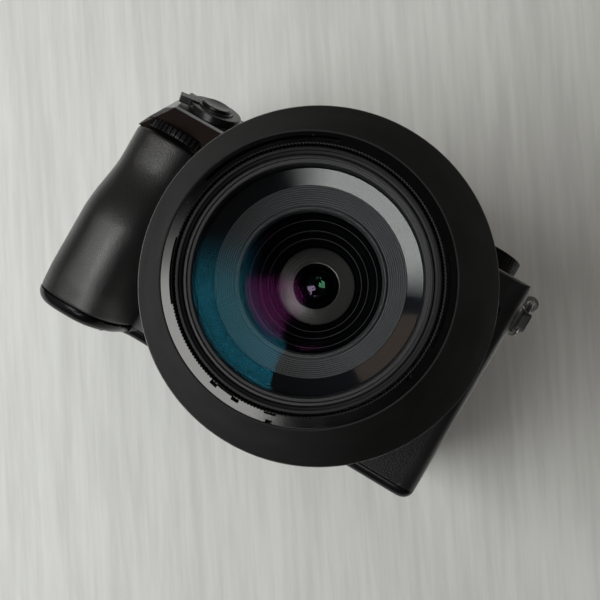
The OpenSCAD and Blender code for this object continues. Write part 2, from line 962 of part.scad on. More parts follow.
module inner_barrel() {
    color("#19191b")
    on_lens()
        difference() {
            lathe([[element_r + 0.6, bulkhead_z[0]], [inner_wall, bulkhead_z[0]], [inner_wall, inner_back],
                [inner_r, inner_back], [inner_r, groove_z[0]], [groove_r, groove_z[0]], [groove_r, groove_z[1]],
                [lip_r, groove_z[1]], [lip_r, lens_len - 0.3], [lip_r - 0.3, lens_len], [thread_r, lens_len],
                [thread_r, lens_len - 4], [inner_wall, lens_len - 4], [inner_wall, bulkhead_z[1]],
                [element_r + 0.6, bulkhead_z[1]]]);
            for (a = [75, 195, 315])
                sector(lip_r + 2, groove_r + 0.1, [groove_z[1] - 0.1, lens_len + 1], a, 38);
        }
}

// ribbed funnel round the front element
module front_ring() {
    ribs = 8;
    ring_in = element_r + 0.4;
    ring_out = inner_r - 9.9;
    step = (ring_out - ring_in) / ribs;
    low = lens_len - 9.4;
    rise = 3.2 / ribs;
    color("#28282b")
    on_lens()
        lathe(concat(
            [[inner_wall - 0.2, bulkhead_z[1]], [inner_wall - 0.2, lens_len - 4.2], [inner_wall - 2, lens_len - 4.2],
                [ring_out, lens_len - 6.2]],
            [for (i = [ribs - 1:-1:0])
                each [[ring_in + i * step + step * 0.6, low + i * rise + 0.1],
                    [ring_in + i * step + step * 0.1, low + i * rise + 0.9]]],
            [[ring_in, low], [ring_in, bulkhead_z[1]]]));
}

module front_element() {
    color("#8fa3b8")
    on_lens()
        glass_lens(element_r, lens_len - 20, lens_len - 12.5, 1.2, 3);
}

module filter_ring() {
    color("#1d1d1f")
    on_lens()
        lathe([[filter_lip, filter_back], [thread_r - 0.2, filter_back], [thread_r - 0.2, lens_len + 0.1],
            [filter_r, lens_len + 0.1], [filter_r, filter_front - 0.4], [filter_r - 0.4, filter_front],
            [thread_r - 0.4, filter_front], [thread_r - 0.4, glass_z[1] + 0.1], [pane_r, glass_z[1] + 0.1],
            [pane_r, glass_z[0] - fit], [filter_lip, glass_z[0] - fit]]);
}

module filter_glass() {
    color("#bcd6d6")
    on_lens()
        translate([0, 0, glass_z[0]])
            cylinder(r = pane_r - fit, h = glass_z[1] - glass_z[0], $fn = fine);
}

// one point of the hood's curved flank, from its mount face (0) to its wide rim (1)
function hood_point(t, inset) = [hood_face_r + (hood_r - hood_face_r) * t + 1.6 * sin(180 * t) - inset,
    hood_front - hood_len * t];

module hood() {
    steps = 10;
    neck = hood_neck / hood_len;
    skin = 1.8;
    color("#1b1b1d")
    on_lens()
        difference() {
            union() {
                lathe(concat(
                    [[hood_bore_r, hood_front]],
                    [for (i = [0:steps]) hood_point(i / steps, 0)],
                    [for (i = [steps:-1:0]) hood_point(neck + (1 - neck) * i / steps, skin)],
                    [[hood_mount_r, hood_front - hood_neck], [hood_mount_r, hood_step],
                        [hood_bore_r, hood_step + hood_mount_r - hood_bore_r]]));
                for (a = [10, 130, 250])
                    sector(hood_mount_r + 0.1, groove_r + 0.2, [groove_z[0] + 0.4, groove_z[1] - 0.4], a, 34);
            }
            for (a = [60, 180, 300])
                sector(hood_bore_r + 0.9, hood_bore_r - 1, [hood_front - 1.6, hood_front + 1], a, 56);
            for (a = [52, 122, 172, 242, 292, 2])
                sector(hood_bore_r + 2.3, hood_bore_r + 0.7, [hood_front - 1.2, hood_front + 1], a, 3);
        }
}

// controls

module shutter_button() {
    color("#3a3a3c")
    on_turret()
        rotate_extrude()
            polygon([[0, -5.6], [1.8, -5.6], [1.8, 0.2], [shutter_r, 0.2], [shutter_r, 3.8],
                [shutter_r - 0.5, 4.3], [shutter_r * 0.5, 4.1], [0, 4]]);
}

module power_lever() {
    color("#2a2a2c")
    on_turret()
        difference() {
            union() {
                translate([0, 0, 0.2])
                    cylinder(r = lever_r, h = 2.6);
                rotate([0, 0, 205])
                    translate([0, -2, 0.9])
                        cube([lever_r + 3.4, 4, 2.4]);
            }
            translate([0, 0, -1])
                cylinder(r = collar_r + 0.1, h = 6);
        }
}

module wheel(pos, r, t, teeth, top) {
    translate(pos) {
        toothed(r, t, teeth, 0.5);
        translate([0, 0, -0.7])
            cylinder(r = shaft_r, h = t + top);
    }
}

module front_dial() {
    color("#1f1f21")
    wheel(front_dial_pos, front_dial_r, front_dial_t, 44, 4);
}

module rear_dial() {
    color("#1f1f21")
    wheel(rear_dial_pos, rear_dial_r, rear_dial_t, 36, 4);
}

module mode_dial() {
    color("#222224")
    translate([mode_pos[0], mode_pos[1], deck_h + gap])
        difference() {
            union() {
                toothed(mode_r, mode_t, 48, 0.5);
                translate([0, 0, -7])
                    cylinder(r = 3, h = 8);
            }
            translate([0, 0, mode_t - 4])
                cylinder(r = lock_r + 0.2, h = 5);
        }
}

module mode_lock() {
    color("#2c2c2e")
    translate([mode_pos[0], mode_pos[1], deck_h + gap + mode_t - 2.8])
        rotate_extrude()
            polygon([[0, 0], [lock_r, 0], [lock_r, 3.4], [lock_r - 0.5, 3.9], [0, 4]]);
}

module top_button() {
    color("#2c2c2e")
    translate([top_button_pos[0], top_button_pos[1], deck_h - deck_t + 0.6])
        push_button(top_button_r, 3);
}

module lens_release() {
    color("#2a2a2c")
    union() {
        rear_peg(release_pos, 4.6, [front_y - 4.2, front_y - 2.7]);
        rear_peg(release_pos, 4.2, [front_y - 2.8, front_y - 2.6]);
        rear_peg(release_pos, 2.5, [front_y - 3, -15]);
        slab([lock_pos[0] - 2, release_pos[0] + 2], [-17, -15], [release_pos[1] - 2, lock_pos[1] + 2]);
        rear_peg(lock_pos, 1.3, [flange_y - 1, -15.5]);
    }
}

module joystick() {
    color("#1b1b1d")
    translate([stick_pos[0], rear_y - 4.4, stick_pos[1]])
        rotate([-90, 0, 0]) {
            rotate_extrude()
                polygon([[0, 0], [3, 0], [3, 0.8], [1.6, 1.2], [1.6, 5.8], [stick_r, 5.8], [stick_r, 7.4],
                    [stick_r - 0.8, 8.4], [0, 8]]);
            translate([0, 0, 0.4])
                sphere(r = 2.2);
        }
}

module rear_button(pos) {
    translate([pos[0], rear_y - wall + 0.6, pos[1]])
        rotate([-90, 0, 0])
            push_button(button_r, wall + 0.6);
}

module play_button() {
    color("#2c2c2e")
    rear_button(play_pos);
}

module menu_button() {
    color("#2c2c2e")
    rear_button(menu_pos);
}

module focus_button() {
    color("#2c2c2e")
    rear_button(focus_pos);
}

module dioptre_dial() {
    color("#1f1f21")
    translate(dioptre_pos)
        rotate([0, 90, 0]) {
            translate([0, 0, 0.3])
                toothed(dioptre_r, dioptre_len, 24, 0.35);
            translate([0, 0, -3.4])
                cylinder(r = 1.2, h = 4);
        }
}

// screen, doors

module trunnion_bar(z, reach) {
    translate([arm_x[0] - reach, arm_y, z])
        rotate([0, 90, 0])
            cylinder(r = trunnion_r, h = arm_x[1] - arm_x[0] + 2 * reach);
    translate([arm_x[0], arm_y, z])
        rotate([0, 90, 0])
            cylinder(r = 1.3, h = arm_x[1] - arm_x[0]);
}

module screen_arm() {
    color("#34363a")
    union() {
        slab([arm_x[0] + 2, arm_x[1] - 2], [arm_y - arm_t / 2, arm_y + arm_t / 2], arm_z);
        trunnion_bar(arm_z[0], 3.8);
        trunnion_bar(arm_z[1], 3.8);
    }
}

module screen_panel() {
    color("#1d1d1f")
    difference() {
        union() {
            along_y(screen_y)
                rounded(screen_x, screen_z, 2.5);
            for (x = [arm_x[0] - 4.3, arm_x[1] + 0.3])
                slab([x, x + 4], [arm_y - 1.6, screen_y[0] + 0.5], [arm_z[1] - 1.6, arm_z[1] + 1.4]);
        }
        translate([arm_x[0] - 5, arm_y, arm_z[1]])
            rotate([0, 90, 0])
                cylinder(r = trunnion_r + fit, h = arm_x[1] - arm_x[0] + 10);
    }
}

module screen_glass() {
    color("#0b0d10")
    along_y([screen_y[1], screen_y[1] + glass_t])
        rounded([screen_x[0] + 2.4, screen_x[1] - 2.4], [screen_z[0] + 2.4, screen_z[1] - 2.4], 1.5);
}

module battery_door() {
    color("#1c1c1e")
    difference() {
        union() {
            slab([door_x[0], door_axis[0]], door_y, [0, door_t]);
            translate([door_axis[0], door_y[0], door_axis[2]])
                rotate([-90, 0, 0])
                    cylinder(r = knuckle_r, h = door_y[1] - door_y[0]);
            translate([door_axis[0], door_y[0] - 1.4, door_axis[2]])
                rotate([-90, 0, 0])
                    cylinder(r = 0.6, h = door_y[1] - door_y[0] + 2.8);
        }
        slab([door_x[0] + 2, door_x[0] + 12], [-28, -18], [-1, 1.5]);
    }
}

module battery_latch() {
    color("#303033")
    union() {
        slab([door_x[0] + 2.4, door_x[0] + 8.4], [-27.7, -18.3], [0.4, 1.4]);
        for (x = [3.2, 5, 6.8])
            slab([door_x[0] + x, door_x[0] + x + 0.8], [-26.5, -19.5], [0.1, 0.5]);
    }
}

module side_door(axis, z, reach) {
    translate([axis[0], axis[1], z[0]])
        cylinder(r = knuckle_r, h = z[1] - z[0]);
    translate([axis[0], axis[1], z[0] - 1.6])
        cylinder(r = 0.7, h = z[1] - z[0] + 3.2);
    slab([axis[0] - knuckle_r, axis[0] + knuckle_r], [min(axis[1], reach), max(axis[1], reach)], z);
}

module card_door() {
    color("#202022")
    side_door([body_l + knuckle_r, card_door_y[1]], card_door_z, card_door_y[0]);
}

module port_cover() {
    color("#202022")
    side_door([body_r - knuckle_r, port_door_y[0]], port_door_z, port_door_y[1]);
}

front_cover();
rear_cover();
top_cover();
bottom_plate();
grip_cover();
front_skin();
chassis();
mount_ring();
screws();
shutter_unit();
sensor_unit();
main_board();
battery();
card_slot();
hot_shoe();
top_display();
finder_lens();
eyecup();
strap_lugs();
port_block();
tripod_socket();
lens_flange();
lens_barrel();
lens_cell();
rear_lens();
iris_unit();
shutter_button();
power_lever();
front_dial();
rear_dial();
mode_dial();
mode_lock();
top_button();
lens_release();
zoom_ring();
zoom_grip();
focus_ring();
focus_grip();
inner_barrel();
front_ring();
front_element();
filter_ring();
filter_glass();
hood();
screen_arm();
screen_panel();
screen_glass();
joystick();
play_button();
menu_button();
focus_button();
dioptre_dial();
battery_door();
battery_latch();
card_door();
port_cover();
strap_ring_left();
strap_ring_right();
ring_cover_left();
ring_cover_right();
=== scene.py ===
"""Looks of a medium format digital camera with a zoom lens, a clear filter and a hood stored back to front.

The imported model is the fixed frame, and every piece here rides on one of its bodies.
Sizes are in millimetres and angles in degrees, where nothing else is said.
A pattern's scale is a count per metre.
"""

from __future__ import annotations

import logging
import math
from collections.abc import Callable, Iterable, Sequence
from dataclasses import dataclass
from enum import Enum
from typing import Any

import bmesh
import bpy
import numpy as np
from mathutils import Matrix, Vector


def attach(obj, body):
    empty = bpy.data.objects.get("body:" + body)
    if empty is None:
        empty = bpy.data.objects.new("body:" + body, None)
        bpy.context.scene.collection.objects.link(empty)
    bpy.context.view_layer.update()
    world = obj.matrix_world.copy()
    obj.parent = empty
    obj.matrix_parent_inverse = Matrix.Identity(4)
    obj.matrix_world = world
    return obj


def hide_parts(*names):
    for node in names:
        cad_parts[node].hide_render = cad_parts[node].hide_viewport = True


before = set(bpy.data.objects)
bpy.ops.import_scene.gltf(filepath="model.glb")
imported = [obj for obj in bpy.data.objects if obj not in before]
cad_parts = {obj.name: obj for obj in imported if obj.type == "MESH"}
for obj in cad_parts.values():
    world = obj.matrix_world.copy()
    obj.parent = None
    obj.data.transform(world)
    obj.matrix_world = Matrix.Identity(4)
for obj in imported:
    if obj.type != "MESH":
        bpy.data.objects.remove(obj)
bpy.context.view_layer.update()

MM = 0.001  # metres in a millimetre
CRISP = 35.0  # edges of new pieces that turn more than this stay crisp
EASED = 38.0  # edges of the frame's nodes that turn more than this are softened
TWIN = 1e-7  # corners of new pieces closer than this many metres become one
WELD = 1e-6  # the same for the frame's nodes
LOG = logging.getLogger("camera")
Colour = tuple[float, float, float]
Pair = tuple[float, float]
Triple = tuple[float, float, float]
Shape = Callable[[np.ndarray, float, float], tuple[np.ndarray, np.ndarray]]


def shade(values: Triple, factor: float, lift: float = 0.0) -> Triple:
    """A colour or a place times a factor, raised by an amount."""
    return tuple(value * factor + lift for value in values)


class Cells(Enum):
    """What a cell pattern measures: the way to a cell's edge or to its middle."""

    EDGE = "DISTANCE_TO_EDGE"
    MIDDLE = "F1"


class Wire:
    """A node socket that takes part in Python sums, each of which adds a Math node."""

    def __init__(self, paint: Paint, socket: bpy.types.NodeSocket) -> None:
        """Keep the socket and the paint whose tree it lies in."""
        self.paint = paint
        self.socket = socket

    def _sum(self, operation: str, first: Wire | float, second: Wire | float) -> Wire:
        """Add one Math node for two values or sockets."""
        return self.paint.node("Math", {"operation": operation}, [first, second])

    def __add__(self, other: Wire | float) -> Wire:
        """Sum of two values."""
        return self._sum("ADD", self, other)

    def __sub__(self, other: Wire | float) -> Wire:
        """Difference of two values."""
        return self._sum("SUBTRACT", self, other)

    def __rsub__(self, other: Wire | float) -> Wire:
        """Difference with this value on the right."""
        return self._sum("SUBTRACT", other, self)

    def __mul__(self, other: Wire | float) -> Wire:
        """Product of two values."""
        return self._sum("MULTIPLY", self, other)

    def __pow__(self, other: Wire | float) -> Wire:
        """This value to a power."""
        return self._sum("POWER", self, other)

    __radd__ = __add__
    __rmul__ = __mul__


class Paint:
    """One material's node tree, with the few ways that the finishes here add to it."""

    def __init__(self, name: str) -> None:
        """Start an empty material.

        Args:
            name: the material's name.
        """
        self.material = bpy.data.materials.new(name)
        self.material.use_nodes = True
        self.tree = self.material.node_tree
        self.tree.nodes.clear()
        self.place = self.node("TexCoord", output="Object")

    def node(self, kind: str, settings: dict[str, Any] | None = None,
             inputs: dict[Any, Any] | Sequence[Any] = (), output: int | str = 0) -> Wire:
        """Add any node.

        Args:
            kind: the node's type, without its usual prefix.
            settings: properties to set first, such as an operation.
            inputs: values or wires, in order or by socket name.
            output: the output that is handed back.

        Returns:
            The wire from that output.
        """
        made = self.tree.nodes.new("ShaderNode" + kind)
        for key, value in (settings or {}).items():
            setattr(made, key, value)
        for key, value in inputs.items() if isinstance(inputs, dict) else enumerate(inputs):
            socket = made.inputs[key]
            if isinstance(value, Wire):
                self.tree.links.new(value.socket, socket)
            else:
                socket.default_value = (*value, 1.0) if socket.type == "RGBA" else value
        return Wire(self, made.outputs[output])

    def stretch(self, scale: Triple, place: Wire | None = None) -> Wire:
        """Coordinates times a vector."""
        return self.node("VectorMath", {"operation": "MULTIPLY"}, [place or self.place, scale])

    def noise(self, scale: float, detail: float = 3.0, place: Wire | None = None,
              rough: float = 0.55) -> Wire:
        """A value noise between 0 and 1."""
        inputs = {"Vector": place or self.place, "Scale": scale, "Detail": detail, "Roughness": rough}
        return self.node("TexNoise", None, inputs)

    def cells(self, scale: float, feature: Cells, place: Wire | None = None) -> Wire:
        """A cell pattern's distance value."""
        inputs = {"Vector": place or self.place, "Scale": scale}
        return self.node("TexVoronoi", {"feature": feature.value}, inputs, "Distance")

    def span(self, value: Wire, low: float, high: float, to: Pair = (0.0, 1.0)) -> Wire:
        """Map a value's range onto another, held at its ends.

        Args:
            value: the wire to map.
            low: the value that gives the first end.
            high: the value that gives the second end.
            to: the two ends.

        Returns:
            The mapped wire.
        """
        return self.node("MapRange", {"interpolation_type": "SMOOTHSTEP"}, [value, low, high, *to])

    def blend(self, mask: Wire, first: Wire | Colour, second: Wire | Colour) -> Wire:
        """Mix two colours by a mask."""
        return self.node("Mix", {"data_type": "RGBA"}, {0: mask, 6: first, 7: second}, 2)

    def relief(self, height: Wire, depth: float, strength: float = 1.0) -> Wire:
        """A bump of that depth in millimetres."""
        inputs = {"Strength": strength, "Distance": depth * MM, "Height": height}
        return self.node("Bump", None, inputs, "Normal")

    def offset(self, centre: Triple) -> Wire:
        """Coordinates from a centre that is given in millimetres."""
        return self.node("VectorMath", {"operation": "SUBTRACT"}, [self.place, shade(centre, MM)])

    def radius(self, centre: Triple) -> Wire:
        """Distance in metres from a line along the lens axis through a centre."""
        flat = self.stretch((1.0, 0.0, 1.0), self.offset(centre))
        return self.node("VectorMath", {"operation": "LENGTH"}, [flat], "Value")

    def along(self, centre: Triple, axis: Triple) -> Wire:
        """Distance in metres from a centre along an axis."""
        return self.node("VectorMath", {"operation": "DOT_PRODUCT"}, [self.offset(centre), axis], "Value")

    def close(self, shader: Wire) -> bpy.types.Material:
        """Send a shader to the output.

        Args:
            shader: the finished shader.

        Returns:
            The material.
        """
        end = self.tree.nodes.new("ShaderNodeOutputMaterial")
        self.tree.links.new(shader.socket, end.inputs["Surface"])
        return self.material

    def layer(self, **sockets: Any) -> Wire:
        """One principled shader.

        Args:
            **sockets: values or wires by socket name, with underscores for spaces.

        Returns:
            The shader's wire.
        """
        named = {key.replace("_", " "): value for key, value in sockets.items()}
        return self.node("BsdfPrincipled", None, named)

    def skin(self, **sockets: Any) -> bpy.types.Material:
        """Finish the material with one principled shader."""
        return self.close(self.layer(**sockets))


@dataclass(frozen=True)
class Finish:
    """A surface finish: a named material that is made once."""

    name: str

    def mix(self, paint: Paint) -> bpy.types.Material:
        """Build the nodes."""
        raise NotImplementedError

    def dress(self, piece: bpy.types.Object) -> bpy.types.Object:
        """Give the piece this finish.

        Args:
            piece: a mesh object or a node of the frame.

        Returns:
            The same piece.
        """
        made = bpy.data.materials.get(self.name) or self.mix(Paint(self.name))
        piece.data.materials.clear()
        piece.data.materials.append(made)
        return piece


@dataclass(frozen=True)
class Leather(Finish):
    """Grained black covering: pebbles with creases between them, rubbed smooth on their tops."""

    colour: Colour = (0.0024, 0.0025, 0.0029)
    grain: float = 1500.0
    depth: float = 0.052
    shine: float = 1.0
    wander: float = 420.0
    drift: float = 0.0012  # metres

    def mix(self, paint: Paint) -> bpy.types.Material:
        """Build the pebbles, the pores and the rubbed tops.

        Args:
            paint: the empty material.

        Returns:
            The finished material.
        """
        inputs = {"Vector": paint.place, "Scale": self.wander, "Detail": 2.0}
        wander = paint.node("TexNoise", None, inputs, "Color")
        shift = paint.node("VectorMath", {"operation": "SCALE"}, {0: wander, "Scale": self.drift})
        place = paint.node("VectorMath", {"operation": "ADD"}, [paint.place, shift])
        pebble = paint.span(paint.cells(self.grain, Cells.EDGE, place), 0.0, 0.32)
        pores = paint.noise(self.grain * 3.2, 2.0)
        rubbed = paint.span(paint.noise(60.0, 3.0), 0.35, 0.7)
        height = pebble * 0.8 + pores * 0.25
        dark, light = shade(self.colour, 0.45), shade(self.colour, 1.5)
        return paint.skin(
            Base_Color=paint.blend(pebble * (0.55 + 0.45 * rubbed), dark, light),
            Roughness=0.47 - 0.10 * pebble - 0.07 * rubbed + 0.08 * pores,
            IOR=1.62,
            Specular_IOR_Level=self.shine,
            Normal=paint.relief(height, self.depth, 0.85),
        )


@dataclass(frozen=True)
class SatinPaint(Finish):
    """Sprayed black paint on alloy: a fine stipple and faint smears."""

    colour: Colour = (0.011, 0.011, 0.012)
    rough: float = 0.33
    stipple: float = 2600.0
    depth: float = 0.03

    def coat(self, paint: Paint) -> Wire:
        """Build the paint's own shader.

        Args:
            paint: the material that it goes into.

        Returns:
            The shader's wire.
        """
        grain = paint.noise(self.stipple, 2.0)
        smear = paint.span(paint.noise(38.0, 4.0), 0.3, 0.75)
        light = shade(self.colour, 1.7)
        return paint.layer(
            Base_Color=paint.blend(grain * smear, self.colour, light),
            Roughness=self.rough - 0.06 + 0.10 * smear + 0.06 * grain,
            Normal=paint.relief(grain, self.depth, 0.7),
        )

    def mix(self, paint: Paint) -> bpy.types.Material:
        """Build the nodes."""
        return paint.close(self.coat(paint))


@dataclass(frozen=True)
class ShadedFrontPaint(SatinPaint):
    """Satin paint with a matt patch of painted shade on the turret's front, below its lip; its warm tint is a
    painted reflection.
    """

    # colour of the painted shade, with a warm painted reflection in it
    painted_shade: Colour = (0.0075, 0.0052, 0.0045)
    front: float = -28.0
    lip: float = 78.3
    front_fade: float = 0.2
    lip_fade: float = 0.3

    def mix(self, paint: Paint) -> bpy.types.Material:
        """Lay the matt patch of painted shade over the satin paint.

        Args:
            paint: the empty material.

        Returns:
            The finished material.
        """
        ahead = paint.node("SeparateXYZ", None, [paint.place], "Y")
        height = paint.node("SeparateXYZ", None, [paint.place], "Z")
        # where the painted shade lies: the turret's front, below its lip
        mask = paint.span(ahead, self.front * MM, (self.front - self.front_fade) * MM)
        mask = mask * paint.span(height, self.lip * MM, (self.lip - self.lip_fade) * MM)
        grain = paint.noise(self.stipple, 3.0)
        light = shade(self.painted_shade, 1.5)
        # this layer carries the painted shade
        matt = paint.layer(
            Base_Color=paint.blend(grain, self.painted_shade, light),
            Roughness=0.6 + 0.1 * grain,
            IOR=1.06,
            Normal=paint.relief(grain, self.depth, 0.7),
        )
        return paint.close(paint.node("MixShader", None, [mask, self.coat(paint), matt]))


@dataclass(frozen=True)
class Moulded(Finish):
    """Moulded plastic with a spark-eroded skin."""

    colour: Colour = (0.014, 0.014, 0.0145)
    rough: float = 0.46
    grain: float = 3400.0
    depth: float = 0.035
    shine: float = 0.5
    dust: float = 0.0
    index: float = 1.5

    def mix(self, paint: Paint) -> bpy.types.Material:
        """Build the skin's grain, its cloudy tone and any dust.

        Args:
            paint: the empty material.

        Returns:
            The finished material.
        """
        grain = paint.noise(self.grain, 3.0, rough=0.7)
        cloud = paint.span(paint.noise(70.0, 4.0), 0.3, 0.8)
        light = shade(self.colour, 1.45)
        tone = paint.blend(cloud * 0.6 + grain * 0.3, self.colour, light)
        if self.dust:
            speck = paint.span(paint.cells(330.0, Cells.MIDDLE), 0.035, 0.015)
            tone = paint.blend(speck * self.dust, tone, (0.5, 0.5, 0.5))
        return paint.skin(
            Base_Color=tone,
            Roughness=self.rough - 0.05 + 0.10 * cloud + 0.05 * grain,
            Specular_IOR_Level=self.shine,
            IOR=self.index,
            Normal=paint.relief(grain, self.depth, 0.8),
        )


@dataclass(frozen=True)
class Turned(Finish):
    """Anodised metal with the fine rings that a lathe leaves round the lens axis."""

    colour: Colour = (0.022, 0.022, 0.024)
    rough: float = 0.32
    metal: float = 0.55
    pitch: float = 5200.0
    depth: float = 0.012

    def mix(self, paint: Paint) -> bpy.types.Material:
        """Build the lathe's rings and a cloudy gloss.

        Args:
            paint: the empty material.

        Returns:
            The finished material.
        """
        inputs = {"W": paint.radius(LENS.origin), "Scale": self.pitch}
        ring = paint.node("TexNoise", {"noise_dimensions": "1D"}, inputs)
        cloud = paint.span(paint.noise(90.0, 3.0), 0.3, 0.8)
        light = shade(self.colour, 1.6)
        return paint.skin(
            Base_Color=paint.blend(ring, self.colour, light),
            Metallic=self.metal,
            Roughness=self.rough + 0.08 * ring + 0.05 * cloud,
            Normal=paint.relief(ring, self.depth, 0.6),
        )


@dataclass(frozen=True)
class Metal(Finish):
    """Bare or plated metal with short brush marks and rubbed spots."""

    colour: Colour = (0.52, 0.51, 0.49)
    rough: float = 0.28
    stroke: Triple = (300.0, 300.0, 2600.0)

    def mix(self, paint: Paint) -> bpy.types.Material:
        """Build the brush marks and the rubbed spots.

        Args:
            paint: the empty material.

        Returns:
            The finished material.
        """
        brush = paint.noise(1.0, 3.0, paint.stretch(self.stroke))
        spot = paint.span(paint.noise(240.0, 3.0), 0.45, 0.7)
        dark = shade(self.colour, 0.72)
        return paint.skin(
            Base_Color=paint.blend(brush * (0.5 + 0.5 * spot), dark, self.colour),
            Metallic=1.0,
            Roughness=self.rough + 0.10 * brush + 0.08 * spot,
            Normal=paint.relief(brush, 0.010, 0.6),
        )


@dataclass(frozen=True)
class Rubber(Finish):
    """Matt rubber with a dusty bloom."""

    colour: Colour = (0.014, 0.014, 0.014)

    def mix(self, paint: Paint) -> bpy.types.Material:
        """Build the grain and the bloom.

        Args:
            paint: the empty material.

        Returns:
            The finished material.
        """
        grain = paint.noise(2900.0, 3.0, rough=0.7)
        bloom = paint.span(paint.noise(120.0, 5.0), 0.35, 0.8)
        light = shade(self.colour, 1.9, 0.004)
        return paint.skin(
            Base_Color=paint.blend(bloom * 0.7 + grain * 0.3, self.colour, light),
            Roughness=0.66 + 0.12 * bloom,
            Specular_IOR_Level=0.35,
            Normal=paint.relief(grain, 0.04, 0.8),
        )


@dataclass(frozen=True)
class Gloss(Finish):
    """Polished dark plastic or a cover glass over black, with faint wiping marks."""

    colour: Colour = (0.006, 0.007, 0.009)
    rough: float = 0.07
    wipe: float = 0.10

    def mix(self, paint: Paint) -> bpy.types.Material:
        """Build the wiping marks under a coat.

        Args:
            paint: the empty material.

        Returns:
            The finished material.
        """
        wiped = paint.span(paint.noise(1.0, 4.0, paint.stretch((60.0, 60.0, 18.0))), 0.42, 0.8)
        fleck = paint.noise(1900.0, 2.0)
        light = shade(self.colour, 2.0)
        return paint.skin(
            Base_Color=paint.blend(wiped, self.colour, light),
            Roughness=self.rough + self.wipe * wiped,
            Coat_Weight=0.5 + 0.4 * wiped,
            Coat_Roughness=0.04,
            Normal=paint.relief(fleck, 0.004, 0.4),
        )


@dataclass(frozen=True)
class LensGlass(Finish):
    """Clear coated glass: it lets light through and mirrors a little of it in the coating's colour."""

    sheen: Colour = (0.05, 0.55, 0.80)
    rough: float = 0.015
    mirror: float = 1.0
    body: Colour = (0.98, 0.99, 0.99)

    def mix(self, paint: Paint) -> bpy.types.Material:
        """Mix clear glass with the coating's mirror.

        Args:
            paint: the empty material.

        Returns:
            The finished material.
        """
        edge = 0.04 + 0.96 * paint.node("LayerWeight", None, {"Blend": 0.5}, "Facing") ** 5.0
        smear = paint.span(paint.noise(75.0, 4.0), 0.45, 0.85)
        clear = paint.node("BsdfTransparent", None, {"Color": self.body})
        mirror = paint.node("BsdfGlossy", None, {"Color": self.sheen, "Roughness": self.rough})
        share = edge * (self.mirror * (0.92 + 0.16 * smear))
        return paint.close(paint.node("MixShader", None, [share, clear, mirror]))


@dataclass(frozen=True)
class Board(Finish):
    """Green circuit board with darker tracks and small pads."""

    def mix(self, paint: Paint) -> bpy.types.Material:
        """Build the tracks and the pads.

        Args:
            paint: the empty material.

        Returns:
            The finished material.
        """
        track = paint.span(paint.cells(420.0, Cells.EDGE), 0.05, 0.12)
        pad = paint.span(paint.cells(700.0, Cells.MIDDLE), 0.22, 0.16)
        base = paint.blend(track, (0.004, 0.045, 0.018), (0.008, 0.09, 0.035))
        return paint.skin(
            Base_Color=paint.blend(pad, base, (0.55, 0.42, 0.16)),
            Metallic=pad * 0.9,
            Roughness=0.42 - 0.14 * pad,
            Normal=paint.relief(track + pad, 0.03, 0.6),
        )


@dataclass(frozen=True)
class Paper(Finish):
    """Pale sheet with fine streaks along one direction, seen from its front only."""

    colour: Colour = (0.60, 0.605, 0.585)
    turn: float = 0.5890  # radians

    def mix(self, paint: Paint) -> bpy.types.Material:
        """Build the streaks and leave the back clear.

        Args:
            paint: the empty material.

        Returns:
            The finished material.
        """
        inputs = {"Vector": paint.place, "Angle": self.turn}
        spin = paint.node("VectorRotate", {"rotation_type": "Y_AXIS"}, inputs)
        streak = paint.noise(1.0, 5.0, paint.stretch((230.0, 1.0, 14.0), spin), 0.65)
        broad = paint.noise(1.0, 3.0, paint.stretch((45.0, 1.0, 6.0), spin))
        mask = paint.span(streak * 0.6 + broad * 0.4, 0.34, 0.66)
        dark = shade(self.colour, 0.83)
        sheet = paint.layer(
            Base_Color=paint.blend(mask, dark, self.colour),
            Roughness=0.62 + 0.15 * streak,
            Specular_IOR_Level=0.25,
            Normal=paint.relief(streak, 0.15, 0.35),
        )
        back = paint.node("NewGeometry", output="Backfacing")
        clear = paint.node("BsdfTransparent")
        return paint.close(paint.node("MixShader", None, [back, sheet, clear]))


@dataclass(frozen=True)
class Spot:
    """A local frame: where a piece stands and which way its height goes."""

    origin: Triple
    axis: Triple = (0.0, 0.0, 1.0)
    side: Triple = (1.0, 0.0, 0.0)

    def lay(self, points: np.ndarray) -> np.ndarray:
        """Carry local points into the camera's frame.

        Args:
            points: rows of (across, up, along).

        Returns:
            The same rows in the frame's x, y and z.
        """
        along = np.array(self.axis, float)
        across = np.array(self.side, float)
        up = np.cross(along, across)
        return np.array(self.origin) + points @ np.stack([across, up, along])


LENS = Spot((0.0, -26.7, 50.0), (0.0, -1.0, 0.0))


class Slot(Enum):
    """The record's material slots that are named for the new pieces; nothing here applies them."""

    COVER = "cover"
    LEATHER = "leather"
    RUBBER = "rubber"
    PLASTIC = "plastic"
    STEEL = "steel"
    ANODISED = "anodised"
    GLASS = "glass"


def make(name: str, points: np.ndarray, faces: Iterable[Sequence[int]],
         sharp: float = CRISP) -> bpy.types.Object:
    """Turn points and faces into a mesh object with clean normals.

    Args:
        name: the piece's name.
        points: corners in millimetres.
        faces: corner numbers of each face.
        sharp: edges that turn more than this many degrees stay crisp.

    Returns:
        The new object.
    """
    mesh = bpy.data.meshes.new(name)
    corners = (np.asarray(points, float) * MM).tolist()
    mesh.from_pydata(corners, [], [list(map(int, face)) for face in faces])
    work = bmesh.new()
    work.from_mesh(mesh)
    bmesh.ops.remove_doubles(work, verts=work.verts, dist=TWIN)
    bmesh.ops.recalc_face_normals(work, faces=work.faces)
    work.to_mesh(mesh)
    work.free()
    mesh.shade_smooth()
    mesh.set_sharp_from_angle(angle=math.radians(sharp))
    piece = bpy.data.objects.new(name, mesh)
    bpy.context.scene.collection.objects.link(piece)
    return piece


